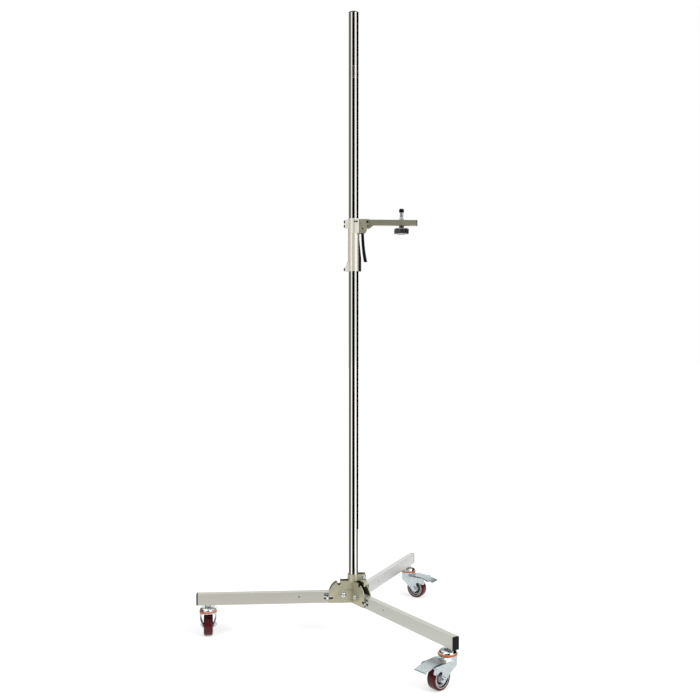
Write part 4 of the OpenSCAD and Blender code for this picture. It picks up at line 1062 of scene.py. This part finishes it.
class STAND_OT_stud(bpy.types.Operator):
    """Turns the stud with its cap and the clamp knob"""

    bl_idname = "stand.stud"
    bl_label = "Stud and knob"

    def execute(self, context):
        sizes, _, _ = stand(context)
        place = upright_at(joint_place("knob_turn").x, 0)
        low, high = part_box("stud")
        arm_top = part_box("arm")[1].z
        turn_piece("turned_stud", "stud", turned_steel("TurnedStud", "#dcdbd6"), [
            (0, low.z), (4 * MM, low.z), (5 * MM, low.z + 1 * MM), (5 * MM, arm_top), (7.5 * MM, arm_top),
            (7.5 * MM, arm_top + 5 * MM), (5.2 * MM, arm_top + 5 * MM), (5.2 * MM, arm_top + 7 * MM),
            (6 * MM, arm_top + 7.5 * MM), (6 * MM, high.z - 1 * MM), (5 * MM, high.z), (0, high.z)],
            place, 0.4 * MM, 64)
        low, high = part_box("stud_cap")
        half, round_r, bore = (high.x - low.x) / 2, 5.5 * MM, 6.05 * MM
        dome = [(half - round_r + round_r * cos(radians(a)), high.z - round_r + round_r * sin(radians(a)))
                for a in range(0, 90, 10)]
        turn_piece("rubber_cap", "stud_cap", moulded_nylon("StudCapNylon", "#080809", 0.36), [
            (0, high.z - 3 * MM), (bore, high.z - 3 * MM), (bore, low.z), (half - 0.6 * MM, low.z),
            (half, low.z + 0.6 * MM), *dome, (half - round_r, high.z), (0, high.z)], place, 0.2 * MM, 64)
        self.mould_knob(sizes, place)
        return {"FINISHED"}

    def mould_knob(self, sizes, place):
        """A fluted grip with a round top edge, on a neck with the stud's bore."""
        low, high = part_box("clamp_knob")
        radius, foot, neck = (high.x - low.x) / 2, low.z, high.z
        fluted = fluted_profile(sizes.knob_flutes, 0.11)
        # The grip's edge as (distance in from the widest, height) in mm
        grip = ((5, 0), (2, 0.5), (0.6, 1.8), (0, 4), (0, 16), (0.6, 18.2), (2, 19.5), (5, 20))
        rows = [(0, foot + 1 * MM), (15 * MM, foot + 1 * MM), (16 * MM, foot)]
        rows += [(radius - inset * MM, foot + z * MM, fluted) for inset, z in grip]
        bore = 5.05 * MM
        rows += [(10 * MM, foot + 20 * MM), (8.5 * MM, foot + 21.5 * MM), (8.5 * MM, neck - 0.5 * MM),
                 (8 * MM, neck), (bore, neck), (bore, foot + 5 * MM), (0, foot + 5 * MM)]
        knob = bmesh.new()
        turn_rings(knob, rows, place, 120)
        place_piece("fluted_knob", closed_mesh("fluted_knob", knob), [
            pressed_phenolic("PressedPhenolic", "#060607")], ["clamp_knob"], 40)


class STAND_OT_studio(bpy.types.Operator):
    """Lays the floor and sets the lamps, the reflection cards and the camera"""

    bl_idname = "stand.studio"
    bl_label = "Studio"

    def execute(self, context):
        _, _, studio = stand(context)
        scene = context.scene
        scene.view_settings.view_transform = "Standard"
        self.lay_floor()
        self.light_room(studio)
        self.stand_cards()
        camera = bpy.data.cameras.new("PhotoCamera")
        camera.sensor_width = 36.0
        camera.lens = studio.lens
        camera.clip_end = 50.0
        scene.camera = new_object("PhotoCamera", camera)
        scene.camera.location = CAMERA_PLACE
        scene.camera.rotation_euler = (radians(90 + CAMERA_TILT), 0, radians(CAMERA_HEADING - 90))
        return {"FINISHED"}

    def seen_directly(self, tree):
        """1 for what the camera sees, also by reflection or through something, else 0."""
        paths = add_node(tree, "ShaderNodeLightPath")
        direct = add_node(tree, "ShaderNodeMath", {"operation": "MAXIMUM"}, (
            paths.outputs["Is Camera Ray"], paths.outputs["Is Glossy Ray"]))
        direct = add_node(tree, "ShaderNodeMath", {"operation": "MAXIMUM"}, (
            direct.outputs[0], paths.outputs["Is Transmission Ray"]))
        return direct.outputs[0]

    def lay_floor(self):
        """A white floor that fades into the background and keeps the stand's shadow."""
        mesh = bpy.data.meshes.new("StudioFloor")
        reach = 20.0
        mesh.from_pydata([(-reach, -reach, 0), (reach, -reach, 0), (reach, reach, 0), (-reach, reach, 0)],
                         [], [(0, 1, 2, 3)])
        material, tree = new_finish("PaleFloor")
        lift = add_node(tree, "ShaderNodeMath", {"operation": "MULTIPLY"}, (self.seen_directly(tree), 0.5))
        paper = add_node(tree, "ShaderNodeBsdfDiffuse", inputs={"Color": linear("#cfcfcf")})
        glow = add_node(tree, "ShaderNodeEmission", inputs={
            "Color": (1, 1, 1, 1), "Strength": lift.outputs[0]})
        both = add_node(tree, "ShaderNodeAddShader", inputs=(paper.outputs[0], glow.outputs[0]))
        add_node(tree, "ShaderNodeOutputMaterial", inputs={"Surface": both.outputs[0]})
        mesh.materials.append(material)
        floor = new_object("StudioFloor", mesh)

    def light_room(self, studio):
        """Even room light, white to the camera and in reflections, and two soft lamps."""
        world = bpy.data.worlds.new("StudioRoom")
        world.use_nodes = True
        tree = world.node_tree
        tree.nodes.clear()
        strength = add_node(tree, "ShaderNodeMapRange", inputs={
            "Value": self.seen_directly(tree), "To Min": studio.sky, "To Max": 1.0})
        room = add_node(tree, "ShaderNodeBackground", inputs={
            "Color": (1, 1, 1, 1), "Strength": strength.outputs[0]})
        add_node(tree, "ShaderNodeOutputWorld", inputs={"Surface": room.outputs[0]})
        bpy.context.scene.world = world
        for name, power, height, azimuth in (
                ("KeyLamp", studio.key, 52, -38), ("FillLamp", studio.fill, 38, 47)):
            lamp = bpy.data.lights.new(name, "SUN")
            lamp.energy = power
            lamp.angle = radians(28)
            new_object(name, lamp).rotation_euler = (radians(90 - height), 0, radians(azimuth))

    def stand_cards(self):
        """Dark cards and cloths that only reflections see, as a studio sets round bright metal."""
        far, top, foot, step = 6.0, 6.0, 0.003, 6
        for name, start, end, near, shade in CARDS:
            material, tree = new_finish(name)
            glow = add_node(tree, "ShaderNodeEmission", inputs={"Color": linear(shade)})
            add_node(tree, "ShaderNodeOutputMaterial", inputs={"Surface": glow.outputs[0]})
            mesh = bpy.data.meshes.new(name)
            steps = max(4, round((end - start) / step))
            points = []
            for k in range(steps + 1):
                a = radians(CAMERA_SIDE + start + (end - start) * k / steps)
                points += [(reach * cos(a), reach * sin(a), z)
                           for reach, z in ((near, foot), (far, foot), (far, top))]
            mesh.from_pydata(points, [], [(3 * k + j, 3 * k + 3 + j, 3 * k + 4 + j, 3 * k + 1 + j)
                                          for k in range(steps) for j in (0, 1)])
            mesh.materials.append(material)
            card = new_object(name, mesh)
            for light_path in ("camera", "diffuse", "shadow", "transmission"):
                setattr(card, f"visible_{light_path}", False)


class STAND_PT_build(bpy.types.Panel):
    """Lists the stand's pieces, sizes and colours"""

    bl_idname = "STAND_PT_build"
    bl_label = "Rolling column stand"
    bl_space_type = "VIEW_3D"
    bl_region_type = "UI"
    bl_category = "Stand"

    def draw(self, context):
        for settings in stand(context):
            box = self.layout.box()
            for name in settings.__annotations__:
                box.prop(settings, name)
        for operator in OPERATORS:
            self.layout.operator(operator.bl_idname)


OPERATORS = (
    STAND_OT_column, STAND_OT_hub, STAND_OT_legs, STAND_OT_locks, STAND_OT_casters, STAND_OT_wheels,
    STAND_OT_carriage, STAND_OT_lever, STAND_OT_arm, STAND_OT_stud, STAND_OT_studio)
CLASSES = (StandSizes, StandColours, StandStudio, *OPERATORS, STAND_PT_build)


def register():
    """Registers the classes and the scene's settings."""
    for cls in CLASSES:
        bpy.utils.register_class(cls)
    bpy.types.Scene.stand_sizes = bpy.props.PointerProperty(type=StandSizes)
    bpy.types.Scene.stand_colours = bpy.props.PointerProperty(type=StandColours)
    bpy.types.Scene.stand_studio = bpy.props.PointerProperty(type=StandStudio)


def unregister():
    """Takes the settings and the classes away again."""
    del bpy.types.Scene.stand_studio
    del bpy.types.Scene.stand_colours
    del bpy.types.Scene.stand_sizes
    for cls in reversed(CLASSES):
        bpy.utils.unregister_class(cls)


def main():
    """Builds every piece and the studio."""
    register()
    for operator in OPERATORS:
        group, name = operator.bl_idname.split(".")
        getattr(getattr(bpy.ops, group), name)()


if __name__ == "__main__":
    main()
